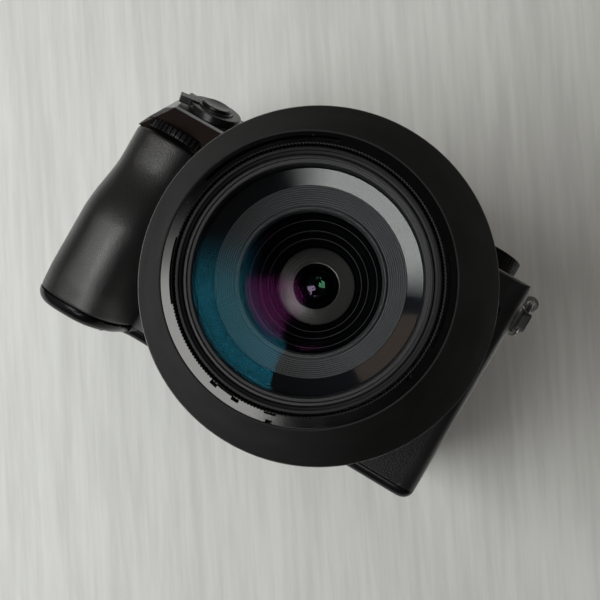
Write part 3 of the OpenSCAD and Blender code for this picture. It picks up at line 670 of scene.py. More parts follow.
def settle(piece: bpy.types.Object, finish: Finish, slot: Slot, body: str, *nodes: str) -> bpy.types.Object:
    """Dress a new piece, make it ride on its body and log it.

    Args:
        piece: the new mesh object.
        finish: its surface.
        slot: the record's material slot; not used.
        body: the frame's body that it moves with.
        *nodes: nodes of the frame that it stands for.

    Returns:
        The same piece.
    """
    finish.dress(piece)
    piece.modifiers.new("flat_faces", "WEIGHTED_NORMAL").keep_sharp = True
    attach(piece, body)
    if nodes:
        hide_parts(*nodes)
    LOG.info("%s: %d faces on %s", piece.name, len(piece.data.polygons), body)
    return piece


def fillet(corners: Sequence[Sequence[float]], closed: bool = False, steps: int = 5) -> list[Pair]:
    """Round the corners of a polyline.

    Args:
        corners: (a, b) or (a, b, radius) for each corner.
        closed: whether the last corner joins the first.
        steps: pieces in each rounded corner.

    Returns:
        The points of the rounded line.
    """
    line: list[Pair] = []
    count = len(corners)
    for i, corner in enumerate(corners):
        here = np.array(corner[:2], float)
        radius = corner[2] if len(corner) > 2 else 0.0
        if not radius or (not closed and i in (0, count - 1)):
            line.append((here[0], here[1]))
            continue
        back = np.array(corners[i - 1][:2], float) - here
        on = np.array(corners[(i + 1) % count][:2], float) - here
        lengths = np.linalg.norm(back), np.linalg.norm(on)
        back, on = back / lengths[0], on / lengths[1]
        half = math.acos(float(np.clip(back @ on, -1, 1))) / 2
        reach = min(radius / math.tan(half), 0.49 * min(lengths))
        start, end = here + back * reach, here + on * reach
        for k in range(steps + 1):
            t = k / steps
            point = (1 - t) ** 2 * start + 2 * t * (1 - t) * here + t * t * end
            line.append((float(point[0]), float(point[1])))
    return line


def sheet_faces(rows: int, columns: int, wrap_rows: bool, wrap_columns: bool) -> list[list[int]]:
    """Quads over a grid of points.

    Args:
        rows: number of rows.
        columns: points in a row.
        wrap_rows: whether the last row joins the first.
        wrap_columns: whether a row's last point joins its first.

    Returns:
        Corner numbers of the quads.
    """
    i = np.arange(rows if wrap_rows else rows - 1)[:, None]
    j = np.arange(columns if wrap_columns else columns - 1)[None, :]
    below, right = (i + 1) % rows, (j + 1) % columns
    corners = (i * columns + j, i * columns + right, below * columns + right, below * columns + j)
    return np.stack(np.broadcast_arrays(*corners), -1).reshape(-1, 4).tolist()


def lathe(name: str, profile: Sequence[Pair], spot: Spot, count: int = 192, loop: bool = True,
          shape: Shape | None = None, sharp: float = CRISP) -> bpy.types.Object:
    """Turn a profile round an axis.

    Args:
        name: the piece's name.
        profile: (radius, height) points.
        spot: the axis and its place.
        count: steps round the axis.
        loop: whether the profile closes on itself.
        shape: changes (angle, radius, height) for knurls, slots and teeth.
        sharp: the crisp edge angle.

    Returns:
        The new object.
    """
    turn = np.radians(np.arange(count) * 360.0 / count)
    rings = []
    for radius, height in profile:
        r, h = np.full_like(turn, radius), np.full_like(turn, height)
        if shape:
            r, h = shape(turn, radius, height)
            r, h = np.broadcast_to(r, turn.shape), np.broadcast_to(h, turn.shape)
        rings.append(np.stack([r * np.cos(turn), r * np.sin(turn), h], -1))
    points = spot.lay(np.concatenate(rings))
    return make(name, points, sheet_faces(len(rings), len(turn), loop, True), sharp)


def loft(name: str, rings: Sequence[np.ndarray], sharp: float = CRISP) -> bpy.types.Object:
    """Skin closed rings of points one after another and close both ends.

    Args:
        name: the piece's name.
        rings: arrays of points in millimetres, all of one length.
        sharp: the crisp edge angle.

    Returns:
        The new object.
    """
    size = len(rings[0])
    faces = sheet_faces(len(rings), size, False, True)
    faces += [list(range(size))[::-1], list(range((len(rings) - 1) * size, len(rings) * size))]
    return make(name, np.concatenate(rings), faces, sharp)


def outline_box(x: Pair, y: Pair, radius: float, steps: int = 6) -> np.ndarray:
    """A rounded rectangle, counter-clockwise."""
    corners = [(x[i], y[j], radius) for i, j in ((0, 0), (1, 0), (1, 1), (0, 1))]
    return np.array(fillet(corners, True, steps))


def grow(outline: np.ndarray, reach: float) -> np.ndarray:
    """Move an outline outwards along its normals, or inwards.

    Args:
        outline: counter-clockwise points.
        reach: how far out they go; a negative value goes in.

    Returns:
        The moved points.
    """
    step = np.roll(outline, -1, 0) - np.roll(outline, 1, 0)
    normal = np.stack([step[:, 1], -step[:, 0]], -1)
    length = np.linalg.norm(normal, axis=1, keepdims=True)
    return outline + reach * normal / np.maximum(length, 1e-9)


def slab(name: str, outline: np.ndarray, profile: Sequence[Pair], spot: Spot, loop: bool = False,
         sharp: float = CRISP) -> bpy.types.Object:
    """Stack an outline along a spot's axis, moved in or out at each height.

    Args:
        name: the piece's name.
        outline: counter-clockwise points across the axis.
        profile: (outward reach, height) of each layer.
        spot: the frame that it stands in.
        loop: makes a closed frame instead of a filled plate.
        sharp: the crisp edge angle.

    Returns:
        The new object.
    """
    rings = [spot.lay(np.column_stack([grow(outline, reach), np.full(len(outline), height)]))
             for reach, height in profile]
    if not loop:
        return loft(name, rings, sharp)
    return make(name, np.concatenate(rings), sheet_faces(len(rings), len(outline), True, True), sharp)


def dome(bottom: float, top: float, edge: float, steps: int = 5) -> list[Pair]:
    """Layers of a plate with rounded rims at both faces.

    Args:
        bottom: height of the lower face.
        top: height of the upper face.
        edge: radius of the rims.
        steps: pieces in each rim.

    Returns:
        (outward reach, height) of each layer.
    """
    arc = [math.pi / 2 * k / steps for k in range(steps + 1)]
    low = [(-edge * (1 - math.sin(a)), bottom + edge * (1 - math.cos(a))) for a in arc]
    high = [(-edge * (1 - math.cos(a)), top - edge * (1 - math.sin(a))) for a in arc]
    return low + high


def tube(name: str, path: np.ndarray, radius: float, sides: int = 16) -> bpy.types.Object:
    """Sweep a round wire along a closed flat path.

    Args:
        name: the piece's name.
        path: points in millimetres.
        radius: the wire's radius.
        sides: points round the wire.

    Returns:
        The new object.
    """
    ahead = np.roll(path, -1, 0) - np.roll(path, 1, 0)
    ahead /= np.linalg.norm(ahead, axis=1, keepdims=True)
    flat = np.linalg.svd(path - path.mean(0))[2][2]
    across = np.cross(ahead, flat)
    turn = np.linspace(0, 2 * math.pi, sides, endpoint=False)[None, :, None]
    rings = path[:, None] + radius * (np.cos(turn) * across[:, None] + np.sin(turn) * flat)
    return make(name, rings.reshape(-1, 3), sheet_faces(len(path), sides, True, True), 60.0)


def knurl(teeth: int, depth: float, low: float, sharpness: float = 2.5) -> Shape:
    """Teeth cut into whatever of a turned profile lies outside a radius.

    Args:
        teeth: number of teeth round the axis.
        depth: how deep they are cut.
        low: points inside this radius stay round.
        sharpness: how square the teeth are.

    Returns:
        A shape for the lathe.
    """

    def cut(turn: np.ndarray, radius: float, height: float) -> tuple[np.ndarray, np.ndarray]:
        """Cut one ring of the profile.

        Args:
            turn: its angles in radians.
            radius: its radius.
            height: its height.

        Returns:
            Radius and height at each angle.
        """
        wave = np.tanh(sharpness * np.sin(teeth * turn)) / math.tanh(sharpness)
        bite = depth * (0.5 - 0.5 * wave) if radius > low else 0.0 * turn
        return radius - bite, np.full_like(turn, height)

    return cut


def band(radii: Pair, heights: Pair, edge: float, steps: int = 4) -> list[Pair]:
    """Profile of a plain ring with rounded outer edges.

    Args:
        radii: its bore and its outer radius.
        heights: its two faces.
        edge: radius of the outer edges.
        steps: pieces in each edge.

    Returns:
        The closed profile.
    """
    (bore, rim), (low, high) = radii, heights
    return fillet([(bore, low), (rim, low, edge), (rim, high, edge), (bore, high)], True, steps)


def bowed_top(reach: float, middle: float, rise: float, steps: int = 8) -> list[Pair]:
    """Profile of a cap's gently bowed top, from its middle out to a radius."""
    return [(r, middle + rise * (r / reach) ** 2) for r in np.linspace(0.0, reach, steps)]


def sag(curve: float, radius: float) -> float:
    """How far a ball of that curve falls away at a radius."""
    return curve - math.sqrt(curve**2 - radius**2)


def smooth(low: float, high: float, value: float) -> float:
    """Soft step from 0 to 1 between two values."""
    t = min(max((value - low) / (high - low), 0.0), 1.0)
    return t * t * (3.0 - 2.0 * t)


def keep(node: str, finish: Finish, ease: float = 0.0, segments: int = 2) -> None:
    """Dress a node of the frame and soften its edges.

    Args:
        node: the node's name.
        finish: its surface.
        ease: edge radius in millimetres.
        segments: steps over each edge.
    """
    piece = finish.dress(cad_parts[node])
    if ease:
        weld = piece.modifiers.new("weld", "WELD")
        weld.merge_threshold = WELD
        bevel = piece.modifiers.new("ease", "BEVEL")
        bevel.width, bevel.segments = ease * MM, segments
        bevel.limit_method, bevel.angle_limit = "ANGLE", math.radians(EASED)
        bevel.harden_normals = True
        bevel.use_clamp_overlap = True
        piece.modifiers.new("flat_faces", "WEIGHTED_NORMAL").keep_sharp = False
    LOG.info("%s kept from the frame", node)


LEATHER = Leather("grained_leather")
SKIN = Leather("front_leather", shine=0.17)
COVER = SatinPaint("satin_black_paint")
# satin paint whose turret front carries painted shade
TOP = ShadedFrontPaint("satin_top_paint")
BASE = Moulded("base_paint", (0.004, 0.004, 0.0045), rough=0.20, grain=1800.0, depth=0.012, index=1.26)
PLASTIC = Moulded("moulded_plastic")
HOOD = Moulded("hood_plastic", (0.0180, 0.0181, 0.0181), rough=0.60, grain=3800.0, depth=0.02, shine=0.0,
               dust=0.05)
# lighter than the hood's plastic: a painted highlight along the brim
EDGE = Moulded("hood_rim_highlight", (0.06, 0.06, 0.06), rough=0.25, grain=5200.0, depth=0.004)
FACE = Moulded("gloss_black", (0.0010, 0.0010, 0.0012), rough=0.11, grain=5200.0, depth=0.004, shine=0.62,
               dust=0.30)
MOUNT = Moulded("filter_black", (0.009, 0.009, 0.010), rough=0.46, grain=5200.0, depth=0.004, shine=0.12,
                dust=0.20)
BAFFLE = Moulded("baffle_black", (0.066, 0.067, 0.071), rough=0.50, grain=5200.0, depth=0.01, shine=0.2)
CONE = Moulded("cone_satin", (0.005, 0.005, 0.007), rough=0.06, grain=5200.0, depth=0.0001, shine=0.90)
PIT = Moulded("lens_black", (0.0015, 0.0015, 0.0015), rough=0.6, depth=0.01, index=1.04)
CELL = Moulded("cell_wrap", (0.05, 0.05, 0.055), rough=0.5)
WHITE = Moulded("white_marks", (0.72, 0.72, 0.70), rough=0.5, grain=2500.0, depth=0.01)
DIAL = Turned("dial_metal", (0.006, 0.006, 0.0065), rough=0.20, metal=0.35)
RING = Turned("ring_metal", (0.006, 0.006, 0.007), rough=0.36, metal=0.15)
BARREL = Turned("barrel_metal", (0.017, 0.017, 0.018), rough=0.36, metal=0.4)
IRIS = Turned("iris_ring", (0.060, 0.059, 0.056), rough=0.20, metal=0.3, pitch=3000.0)
BEZEL = Turned("bezel_metal", (0.035, 0.035, 0.037), rough=0.34, metal=0.3)
# lighter than the well's black: painted highlights on the steps' edges
STEP_HIGHLIGHT = Turned("step_edge_highlight", (0.045, 0.045, 0.045), rough=0.40, metal=0.2)
STEEL = Metal("plated_steel")
DARK_STEEL = Metal("black_steel", (0.09, 0.09, 0.09), rough=0.34)
ALLOY = Metal("cast_alloy", (0.30, 0.30, 0.31), rough=0.42, stroke=(500.0, 500.0, 500.0))
RUBBER = Rubber("matt_rubber")
SCREEN = Gloss("screen_glass")
PANEL = Gloss("display_glass", (0.010, 0.012, 0.012), rough=0.10, wipe=0.08)
FINDER = Gloss("finder_glass", (0.010, 0.006, 0.014), rough=0.04, wipe=0.05)
FILTER = LensGlass("filter_glass", (0.006, 0.105, 0.165), rough=0.016)
FRONT = LensGlass("front_glass", (0.17, 0.022, 0.13), rough=0.085)
SMALL = LensGlass("inner_glass", (0.75, 0.55, 0.85), rough=0.05, mirror=1.2)
GREEN = LensGlass("rear_glass", (0.25, 0.75, 0.42), rough=0.05, mirror=1.2)
BOARD = Board("circuit_board")


def turned(name: str, profile: Sequence[Pair], count: int, finish: Finish, slot: Slot, body: str,
           *nodes: str, **form: Any) -> None:
    """Turn a piece round the lens axis and settle it.

    Args:
        name: the piece's name.
        profile: (radius, height) points.
        count: steps round the axis.
        finish: its surface.
        slot: the record's material slot.
        body: the frame's body that it moves with.
        *nodes: nodes of the frame that it stands for.
        **form: further settings of the lathe.
    """
    settle(lathe(name, profile, LENS, count, **form), finish, slot, body, *nodes)


@dataclass
class LensHood:
    """The hood, stored back to front: its mount face with the bayonet slots looks forward."""

    face: float = 79.3
    mouth: float = 35.9
    rim: float = 52.0
    length: float = 35.0
    bow: float = 1.6
    skin: float = 1.8
    bore: float = 32.75
    throat: float = 33.0
    seat: float = 76.3
    serrations: int = 240
    serration: float = 0.11
    bead_teeth: int = 210
    flank_span: Pair = (0.015, 0.982)
    flank_steps: int = 30
    hollow: float = 0.36  # share of the length where the inside of the shell starts
    steps: int = 288
    fine_steps: int = 1440
    # start and end angle, inner and outer radius, and depth of each slot and notch
    pockets: tuple[tuple[float, float, float, float, float], ...] = (
        (107.0, 165.0, 33.95, 34.65, 2.4),
        (192.0, 220.0, 32.6, 33.35, 2.4),
        (256.6, 259.8, 32.6, 33.9, 2.4),
        (267.6, 270.8, 32.6, 33.9, 2.4),
        (258.0, 268.5, 32.6, 33.2, 1.6),
        (282.5, 287.5, 32.6, 33.4, 1.6),
        (283.8, 286.4, 34.7, 35.45, 2.2),
        (345.0, 347.2, 32.6, 33.8, 2.4),
        (2.0, 46.0, 33.4, 33.9, 2.0),
    )

    def flank(self, t: float) -> Pair:
        """Outer skin from the mount face (0) to the wide rim (1)."""
        radius = self.mouth + (self.rim - self.mouth) * t + self.bow * math.sin(math.pi * t)
        return radius, self.face - self.length * t

    def pocket(self, turn: np.ndarray, radius: float, height: float) -> tuple[np.ndarray, np.ndarray]:
        """Sink the slots and notches into the mount face and serrate its bore.

        Args:
            turn: the angles of one ring of the profile, in radians.
            radius: its radius.
            height: its height.

        Returns:
            Radius and height at each angle.
        """
        sunk = np.full_like(turn, height)
        if height == self.face:
            degrees = np.degrees(turn) % 360.0
            for start, end, inner, outer, depth in self.pockets:
                if inner <= radius <= outer:
                    sunk = np.where((degrees >= start) & (degrees <= end), height - depth, sunk)
        serrated = radius < self.throat + 0.01
        bite = self.serration * np.sin(self.serrations * turn) if serrated else 0.0 * turn
        return radius + bite, sunk

    def build(self) -> None:
        """Make the shell, its mount face and throat, the fine bead round them and the brim."""
        steps = np.linspace(*self.flank_span, self.flank_steps)
        low = self.face - self.length
        outer = [self.flank(t) for t in steps]
        trim = ((0.02, 0.25), (0.12, 0.03), (0.45, 0.0), (1.45, 0.0), (1.75, 0.2))
        lip = [(self.rim - inset, low + rise) for inset, rise in trim]
        inner = [(r - self.skin, s) for r, s in (self.flank(t) for t in steps[::-1] if t > self.hollow)]
        neck = [(40.8, 67.7), (34.9, 67.6), (34.5, 67.9), (34.5, 75.9), (35.5, 76.2), (35.6, 78.6)]
        turned("hood_shell", outer + lip + inner + neck, self.steps, HOOD, Slot.PLASTIC, "hood", "hood")
        top = [(float(r), self.face) for r in np.arange(self.mouth - 0.4, self.bore + 0.2, -0.1)]
        edge = [(self.throat, self.seat), (self.mouth - 0.25, self.seat),
                (self.mouth - 0.18, self.face - 0.25)]
        wall = [(self.throat, self.face - 0.02), (self.bore, self.face - 0.15), (self.bore, self.seat),
                (self.throat, self.seat)]
        for name, profile, finish in (("hood_face", top + edge, FACE), ("hood_throat", wall, MOUNT)):
            turned(name, profile, self.fine_steps, finish, Slot.PLASTIC, "hood", shape=self.pocket,
                   sharp=50.0)
        under, over = self.face - 1.0, self.face - 0.1
        bead = fillet([(self.mouth - 0.25, under), (self.mouth + 0.45, under, 0.3),
                       (self.mouth + 0.35, over, 0.25), (self.mouth - 0.25, over, 0.2)], True, 4)
        teeth = knurl(self.bead_teeth, 0.10, self.mouth, 1.2)
        turned("hood_bead", bead, self.bead_teeth * 6, HOOD, Slot.PLASTIC, "hood", shape=teeth)
        # the brim's lighter colour is a painted highlight along the hood's rim
        brim = band((self.rim - 0.8, self.rim - 0.01), (low + 0.05, low + 0.8), 0.25)
        turned("hood_brim", brim, self.steps, EDGE, Slot.PLASTIC, "hood")


@dataclass
class FilterSet:
    """The screw-in filter: knurled mount, front thread, retaining ring and clear glass."""

    rim: float = 32.4
    foot: float = 70.8
    front: float = 79.0
    clear: float = 28.4
    teeth: int = 180
    thread: Pair = (31.12, 30.75)
    thread_step: float = 0.2

    def build(self) -> None:
        """Make the mount, the retaining ring and the glass."""
        outside = fillet([(31.0, self.foot), (self.rim, self.foot, 0.3), (self.rim, 78.4, 0.3),
                          (31.95, self.front, 0.25), (31.35, self.front, 0.2), (31.15, 78.7)], steps=4)
        thread = [(self.thread[k % 2], 78.55 - self.thread_step * k) for k in range(9)]
        inside = [(30.65, 76.6), (30.15, 76.45), (30.1, 74.5), (self.clear, 74.4), (self.clear, 71.2),
                  (30.0, self.foot)]
        turned("filter_mount", outside + thread + inside, self.teeth * 6, MOUNT, Slot.ANODISED,
               "inner_barrel", "filter_ring", shape=knurl(self.teeth, 0.34, self.rim - 0.1))
        ring = fillet([(30.55, 76.5), (30.55, 77.3, 0.25), (29.7, 77.3, 0.2), (29.5, 77.0, 0.2),
                       (28.75, 76.95, 0.2), (self.clear, 76.7, 0.2), (self.clear, 76.45)], True, 4)
        turned("filter_retainer", ring, 256, RING, Slot.ANODISED, "inner_barrel")
        pane = fillet([(0.0, 74.65), (30.0, 74.65, 0.15), (30.0, 76.4, 0.15), (0.0, 76.4)], steps=3)
        turned("filter_pane", pane, 128, FILTER, Slot.GLASS, "inner_barrel", "filter_glass", loop=False)


@dataclass
class LensFront:
    """What shows through the filter: cone, ribbed baffle, front glass, stepped well and iris."""

    cone: Pair = (30.0, 24.7)
    ribs: int = 9
    rib_top: float = 67.75
    rib_drop: float = 0.34
    rib_end: float = 19.95
    glass: float = 18.6
    curve: float = 80.0
    apex: float = 64.5
    # half the width of the painted highlight rings, and the radius and height of each
    line: float = 0.07
    lines: tuple[Pair, ...] = ((17.55, 54.2), (15.15, 49.8), (13.3, 46.4))
    steps: int = 256
    inner_steps: int = 160
    small_steps: int = 96

    def baffle(self) -> list[Pair]:
        """Profile of the ribbed baffle.

        Returns:
            A stair of ribs that ends at the front glass.
        """
        start = self.cone[1] - 0.1
        pitch = (start - 0.05 - self.rib_end) / self.ribs
        stair: list[Pair] = [(self.cone[1] - 0.02, 67.0)]
        # how far along the pitch and how far below the rib's top each point lies
        steps = ((0.55, 0.02), (0.62, 0.12), (0.66, 1.0), (0.97, 1.0))
        for k in range(self.ribs):
            r, s = start - pitch * k, self.rib_top - self.rib_drop * k
            stair += [(r, s - 0.1), (r - 0.06, s)]
            stair += [(r - pitch * share, s - fall) for share, fall in steps]
        return stair + [(self.rib_end - 0.05, 63.6), (self.rib_end - 0.4, 63.6), (19.0, 61.0), (19.6, 60.0),
                        (24.0, 62.0)]

    def mouth(self) -> None:
        """Make the cone, the baffle, the bezel and the front glass."""
        hoop = fillet([(31.7, 56.0), (31.7, 70.6, 0.2), (self.cone[0], 70.5, 0.15),
                       (self.cone[1], self.rib_top, 0.1), (self.cone[1] - 0.1, 66.6), (31.0, 56.0)], True, 3)
        turned("front_cone", hoop, self.steps, CONE, Slot.PLASTIC, "inner_barrel", "front_ring")
        turned("front_baffle", self.baffle(), self.steps, BAFFLE, Slot.PLASTIC, "inner_barrel", sharp=25.0)
        bezel = fillet([(self.rib_end - 0.3, 63.4), (self.rib_end - 0.3, 64.9, 0.1), (19.25, 64.9, 0.1),
                        (19.2, 64.5), (19.05, 64.5), (18.95, 64.75, 0.08), (18.72, 64.3, 0.1), (18.66, 61.2),
                        (19.2, 61.2)], True, 3)
        turned("glass_bezel", bezel, self.steps, BEZEL, Slot.ANODISED, "inner_barrel")
        front = [(r, self.apex - sag(self.curve, r)) for r in np.linspace(0.0, self.glass - 0.15, 32)]
        front += [(self.glass, 61.2), (self.glass, 57.0)]
        turned("front_glass", front, self.inner_steps, FRONT, Slot.GLASS, "inner_barrel", "front_element",
               loop=False)

    def well(self) -> None:
        """Make the stepped well behind the front glass and the lighter rings at its steps' edges, which are
        painted highlights.
        """
        steps = [(18.4, 56.5), (18.3, 54.4), (17.6, 54.2), (17.5, 52.6), (16.4, 52.4), (16.2, 50.0),
                 (15.2, 49.8), (15.0, 46.6), (13.4, 46.4), (13.2, 43.0), (12.1, 42.8), (12.0, 40.2),
                 (12.6, 40.2), (19.0, 54.0), (19.0, 56.5)]
        turned("lens_well", steps, self.inner_steps, PIT, Slot.PLASTIC, "inner_barrel", sharp=20.0)
        half = self.line
        for k, (r, s) in enumerate(self.lines):
            line = fillet([(r - half, s - half), (r + half, s - half, 0.05), (r + half, s + half, 0.05),
                           (r - half, s + half, 0.05)], True, 3)
            # each ring is a painted highlight along a step's edge
            turned(f"well_edge_{k + 1}", line, self.inner_steps, STEP_HIGHLIGHT, Slot.ANODISED, "inner_barrel")

    def iris(self) -> None:
        """Make the iris ring, the small glasses in and behind it, and the rear glass."""
        ring = fillet([(11.6, 37.9), (11.3, 38.4, 0.2), (7.0, 39.0, 0.2), (6.7, 38.9, 0.15), (6.6, 36.2),
                       (11.6, 36.2)], True, 4)
        turned("iris_collar", ring, self.inner_steps, IRIS, Slot.ANODISED, "camera_body", "iris_unit")
        plate = fillet([(19.8, 36.2), (19.8, 37.6, 0.2), (11.7, 37.6), (11.7, 36.2)], True, 3)
        turned("iris_plate", plate, self.inner_steps, PIT, Slot.ANODISED, "camera_body")
        lens = [(r, 38.3 - sag(11.0, r)) for r in np.linspace(0.0, 6.45, 20)] + [(6.5, 35.0)]
        turned("inner_glass", lens, self.small_steps, SMALL, Slot.GLASS, "camera_body", "rear_lens",
               loop=False)
        bowl = [(r, 31.2 + sag(9.5, r)) for r in np.linspace(0.0, 6.0, 18)]
        turned("inner_bowl", bowl, self.small_steps, GREEN, Slot.GLASS, "camera_body", loop=False)
        tail = fillet([(0.0, 7.0), (19.8, 8.2, 0.3), (19.8, 12.0, 0.3), (0.0, 12.4)], steps=4)
        turned("rear_glass", tail, self.small_steps, GREEN, Slot.GLASS, "camera_body", loop=False)
        backing = [(0.0, 28.5), (6.6, 29.0), (6.6, 36.0), (6.8, 36.0), (6.8, 28.0), (0.0, 27.5)]
        turned("iris_backing", backing, self.small_steps, PIT, Slot.ANODISED, "camera_body", loop=False)

    def build(self) -> None:
        """Make every ring and glass from the front inwards."""
        self.mouth()
        self.well()
        self.iris()


@dataclass(frozen=True)
class GripRing:
    """A ring that turns on the barrel, with a ribbed rubber round it.

    The sleeve and the rubber are given by their two radii and their two heights.
    """

    name: str
    sleeve: tuple[Pair, Pair]
    sleeve_edge: float
    rubber: tuple[Pair, Pair]
    rubber_edge: float
    ribs: int
    rib_steps: int
    rib_depth: float
    rib_foot: float
    rib_shape: float

    def build(self, steps: int) -> None:
        """Make the sleeve and its rubber.

        Args:
            steps: steps round the sleeve.
        """
        body = self.name + "_ring"
        sleeve = band(*self.sleeve, self.sleeve_edge)
        turned(self.name + "_sleeve", sleeve, steps, BARREL, Slot.ANODISED, body, body)
        rubber = band(*self.rubber, self.rubber_edge, 5)
        ribs = knurl(self.ribs, self.rib_depth, self.rib_foot, self.rib_shape)
        turned(self.name + "_rubber", rubber, self.ribs * self.rib_steps, RUBBER, Slot.RUBBER, body,
               self.name + "_grip", shape=ribs)


@dataclass
class LensBarrel:
    """The fixed barrel with its zoom and focus rings and the inner barrel that runs out."""

    barrel: float = 42.4
    inner: float = 34.5
    steps: int = 224
    zoom: GripRing = GripRing(
        "zoom", sleeve=((39.3, 40.8), (21.8, 40.2)), sleeve_edge=0.4, rubber=((40.5, 42.3), (23.5, 38.5)),
        rubber_edge=0.5, ribs=46, rib_steps=16, rib_depth=0.9, rib_foot=41.2, rib_shape=5.0)
    focus: GripRing = GripRing(
        "focus", sleeve=((38.7, 39.6), (45.8, 56.7)), sleeve_edge=0.3, rubber=((39.4, 40.8), (46.5, 56.0)),
        rubber_edge=0.4, ribs=96, rib_steps=10, rib_depth=0.6, rib_foot=39.9, rib_shape=4.0)

    def build(self) -> None:
        """Make the barrel, the two rings, their rubbers and the inner barrel."""
        body = fillet([(36.2, 3.0), (37.4, 3.0, 0.2), (38.2, 5.0, 0.5), (self.barrel, 9.0, 1.2),
                       (self.barrel, 11.6, 0.15), (42.0, 11.75), (42.0, 12.25), (self.barrel, 12.4, 0.15),
                       (self.barrel, 21.5, 0.4), (39.0, 21.5), (39.0, 40.5), (42.2, 40.5, 0.4),
                       (41.2, 45.5, 0.4), (38.4, 45.5), (38.4, 57.0), (40.2, 57.0, 0.3), (40.2, 58.2, 0.1),
                       (39.9, 58.3), (39.9, 58.7), (40.2, 58.8, 0.1), (40.2, 60.0, 0.5), (35.2, 60.0, 0.3),
                       (35.2, 30.0), (36.2, 28.0)], True, 4)
        turned("barrel_tube", body, self.steps, BARREL, Slot.ANODISED, "camera_body", "lens_barrel")
        for ring in (self.zoom, self.focus):
            ring.build(self.steps)
        tube_line = fillet([(32.2, 28.0), (self.inner, 28.0, 0.2), (self.inner, 67.3, 0.2), (33.3, 67.4),
                            (33.3, 71.4), (self.inner, 71.5, 0.2), (self.inner, 73.8, 0.3), (32.2, 73.8, 0.2),
                            (32.6, 70.2), (32.2, 69.9)], True, 4)
        turned("inner_tube", tube_line, self.steps, BARREL, Slot.ANODISED, "inner_barrel", "inner_barrel")
        for node in ("lens_flange", "mount_ring"):
            keep(node, STEEL, 0.2)
        keep("lens_cell", PIT)


@dataclass
class HandGrip:
    """The leather-covered hand grip: a loft whose upper part draws in for the fingers."""

    left: float = -86.0
    width: float = 32.0
    reach: float = 29.0
    bottom: float = 4.0
    top: float = 68.0
    face: float = -22.0
    edge: float = 1.3
    waist: Pair = (0.5, 0.84)  # shares of the height between which it draws in
    tuck: Triple = (1.2, 2.0, 6.5)  # how far the left side, the right side and the front draw in
    toe: Pair = (0.05, 0.2)  # shares of the height between which the foot comes forward
    toe_tuck: float = 1.6
    bend: Pair = (0.72, 0.78)  # powers that square the round section
    points: int = 84
    rows: int = 64
    crisp: float = 40.0

    def section(self, z: float) -> np.ndarray:
        """Outline of the grip at a height.

        Args:
            z: the height.

        Returns:
            Closed ring of points.
        """
        waist = smooth(*self.waist, z / self.top)
        left, right = self.left + self.tuck[0] * waist, self.left + self.width - self.tuck[1] * waist
        toe = 1.0 - smooth(*self.toe, z / self.top)
        reach = self.reach - self.tuck[2] * waist - self.toe_tuck * toe
        near = max(self.edge - min(z - self.bottom, self.top - z), 0.0)
        inset = self.edge - math.sqrt(max(self.edge**2 - near**2, 0.0))
        half, mid = (right - left) / 2 - inset, (left + right) / 2
        turn = np.linspace(0.0, math.pi, self.points)
        cos, sin = np.cos(turn), np.clip(np.sin(turn), 0.0, 1.0)
        x = mid - half * np.sign(cos) * np.abs(cos) ** self.bend[0]
        y = self.face - (reach - inset) * sin ** self.bend[1]
        return np.column_stack([x, y, np.full_like(x, z)])

    def wrap(self, z: float) -> np.ndarray:
        """Outline of the covering's strip that runs back from the grip onto the body's side.

        Args:
            z: the height.

        Returns:
            Closed ring of points.
        """
        left = self.left + self.tuck[0] * smooth(*self.waist, z / self.top)
        corners = [(left + 0.02, -24.0), (left, -20.5), (0.8 * left - 16.82, -18.0),
                   (0.35 * left - 54.67, -15.0), (-84.12, -11.5), (-83.0, -11.5), (-80.0, -16.5),
                   (-77.0, -21.0), (-77.0, -24.0)]
        return np.column_stack([np.array(corners), np.full(len(corners), z)])

    def build(self) -> None:
        """Make the grip's covering."""
        ends = np.array([0.0, 0.06, 0.2, 0.45, 0.8, self.edge])
        middle = np.linspace(self.bottom + 2.2, self.top - 2.2, self.rows)
        heights = np.concatenate([self.bottom + ends, middle, self.top - ends[::-1]])
        cover = loft("grip_leather", [self.section(z) for z in heights], self.crisp)
        settle(cover, LEATHER, Slot.LEATHER, "camera_body", "grip_cover")
        wrap = loft("grip_wrap", [self.wrap(z) for z in heights[3:-3]], self.crisp)
        settle(wrap, LEATHER, Slot.LEATHER, "camera_body")


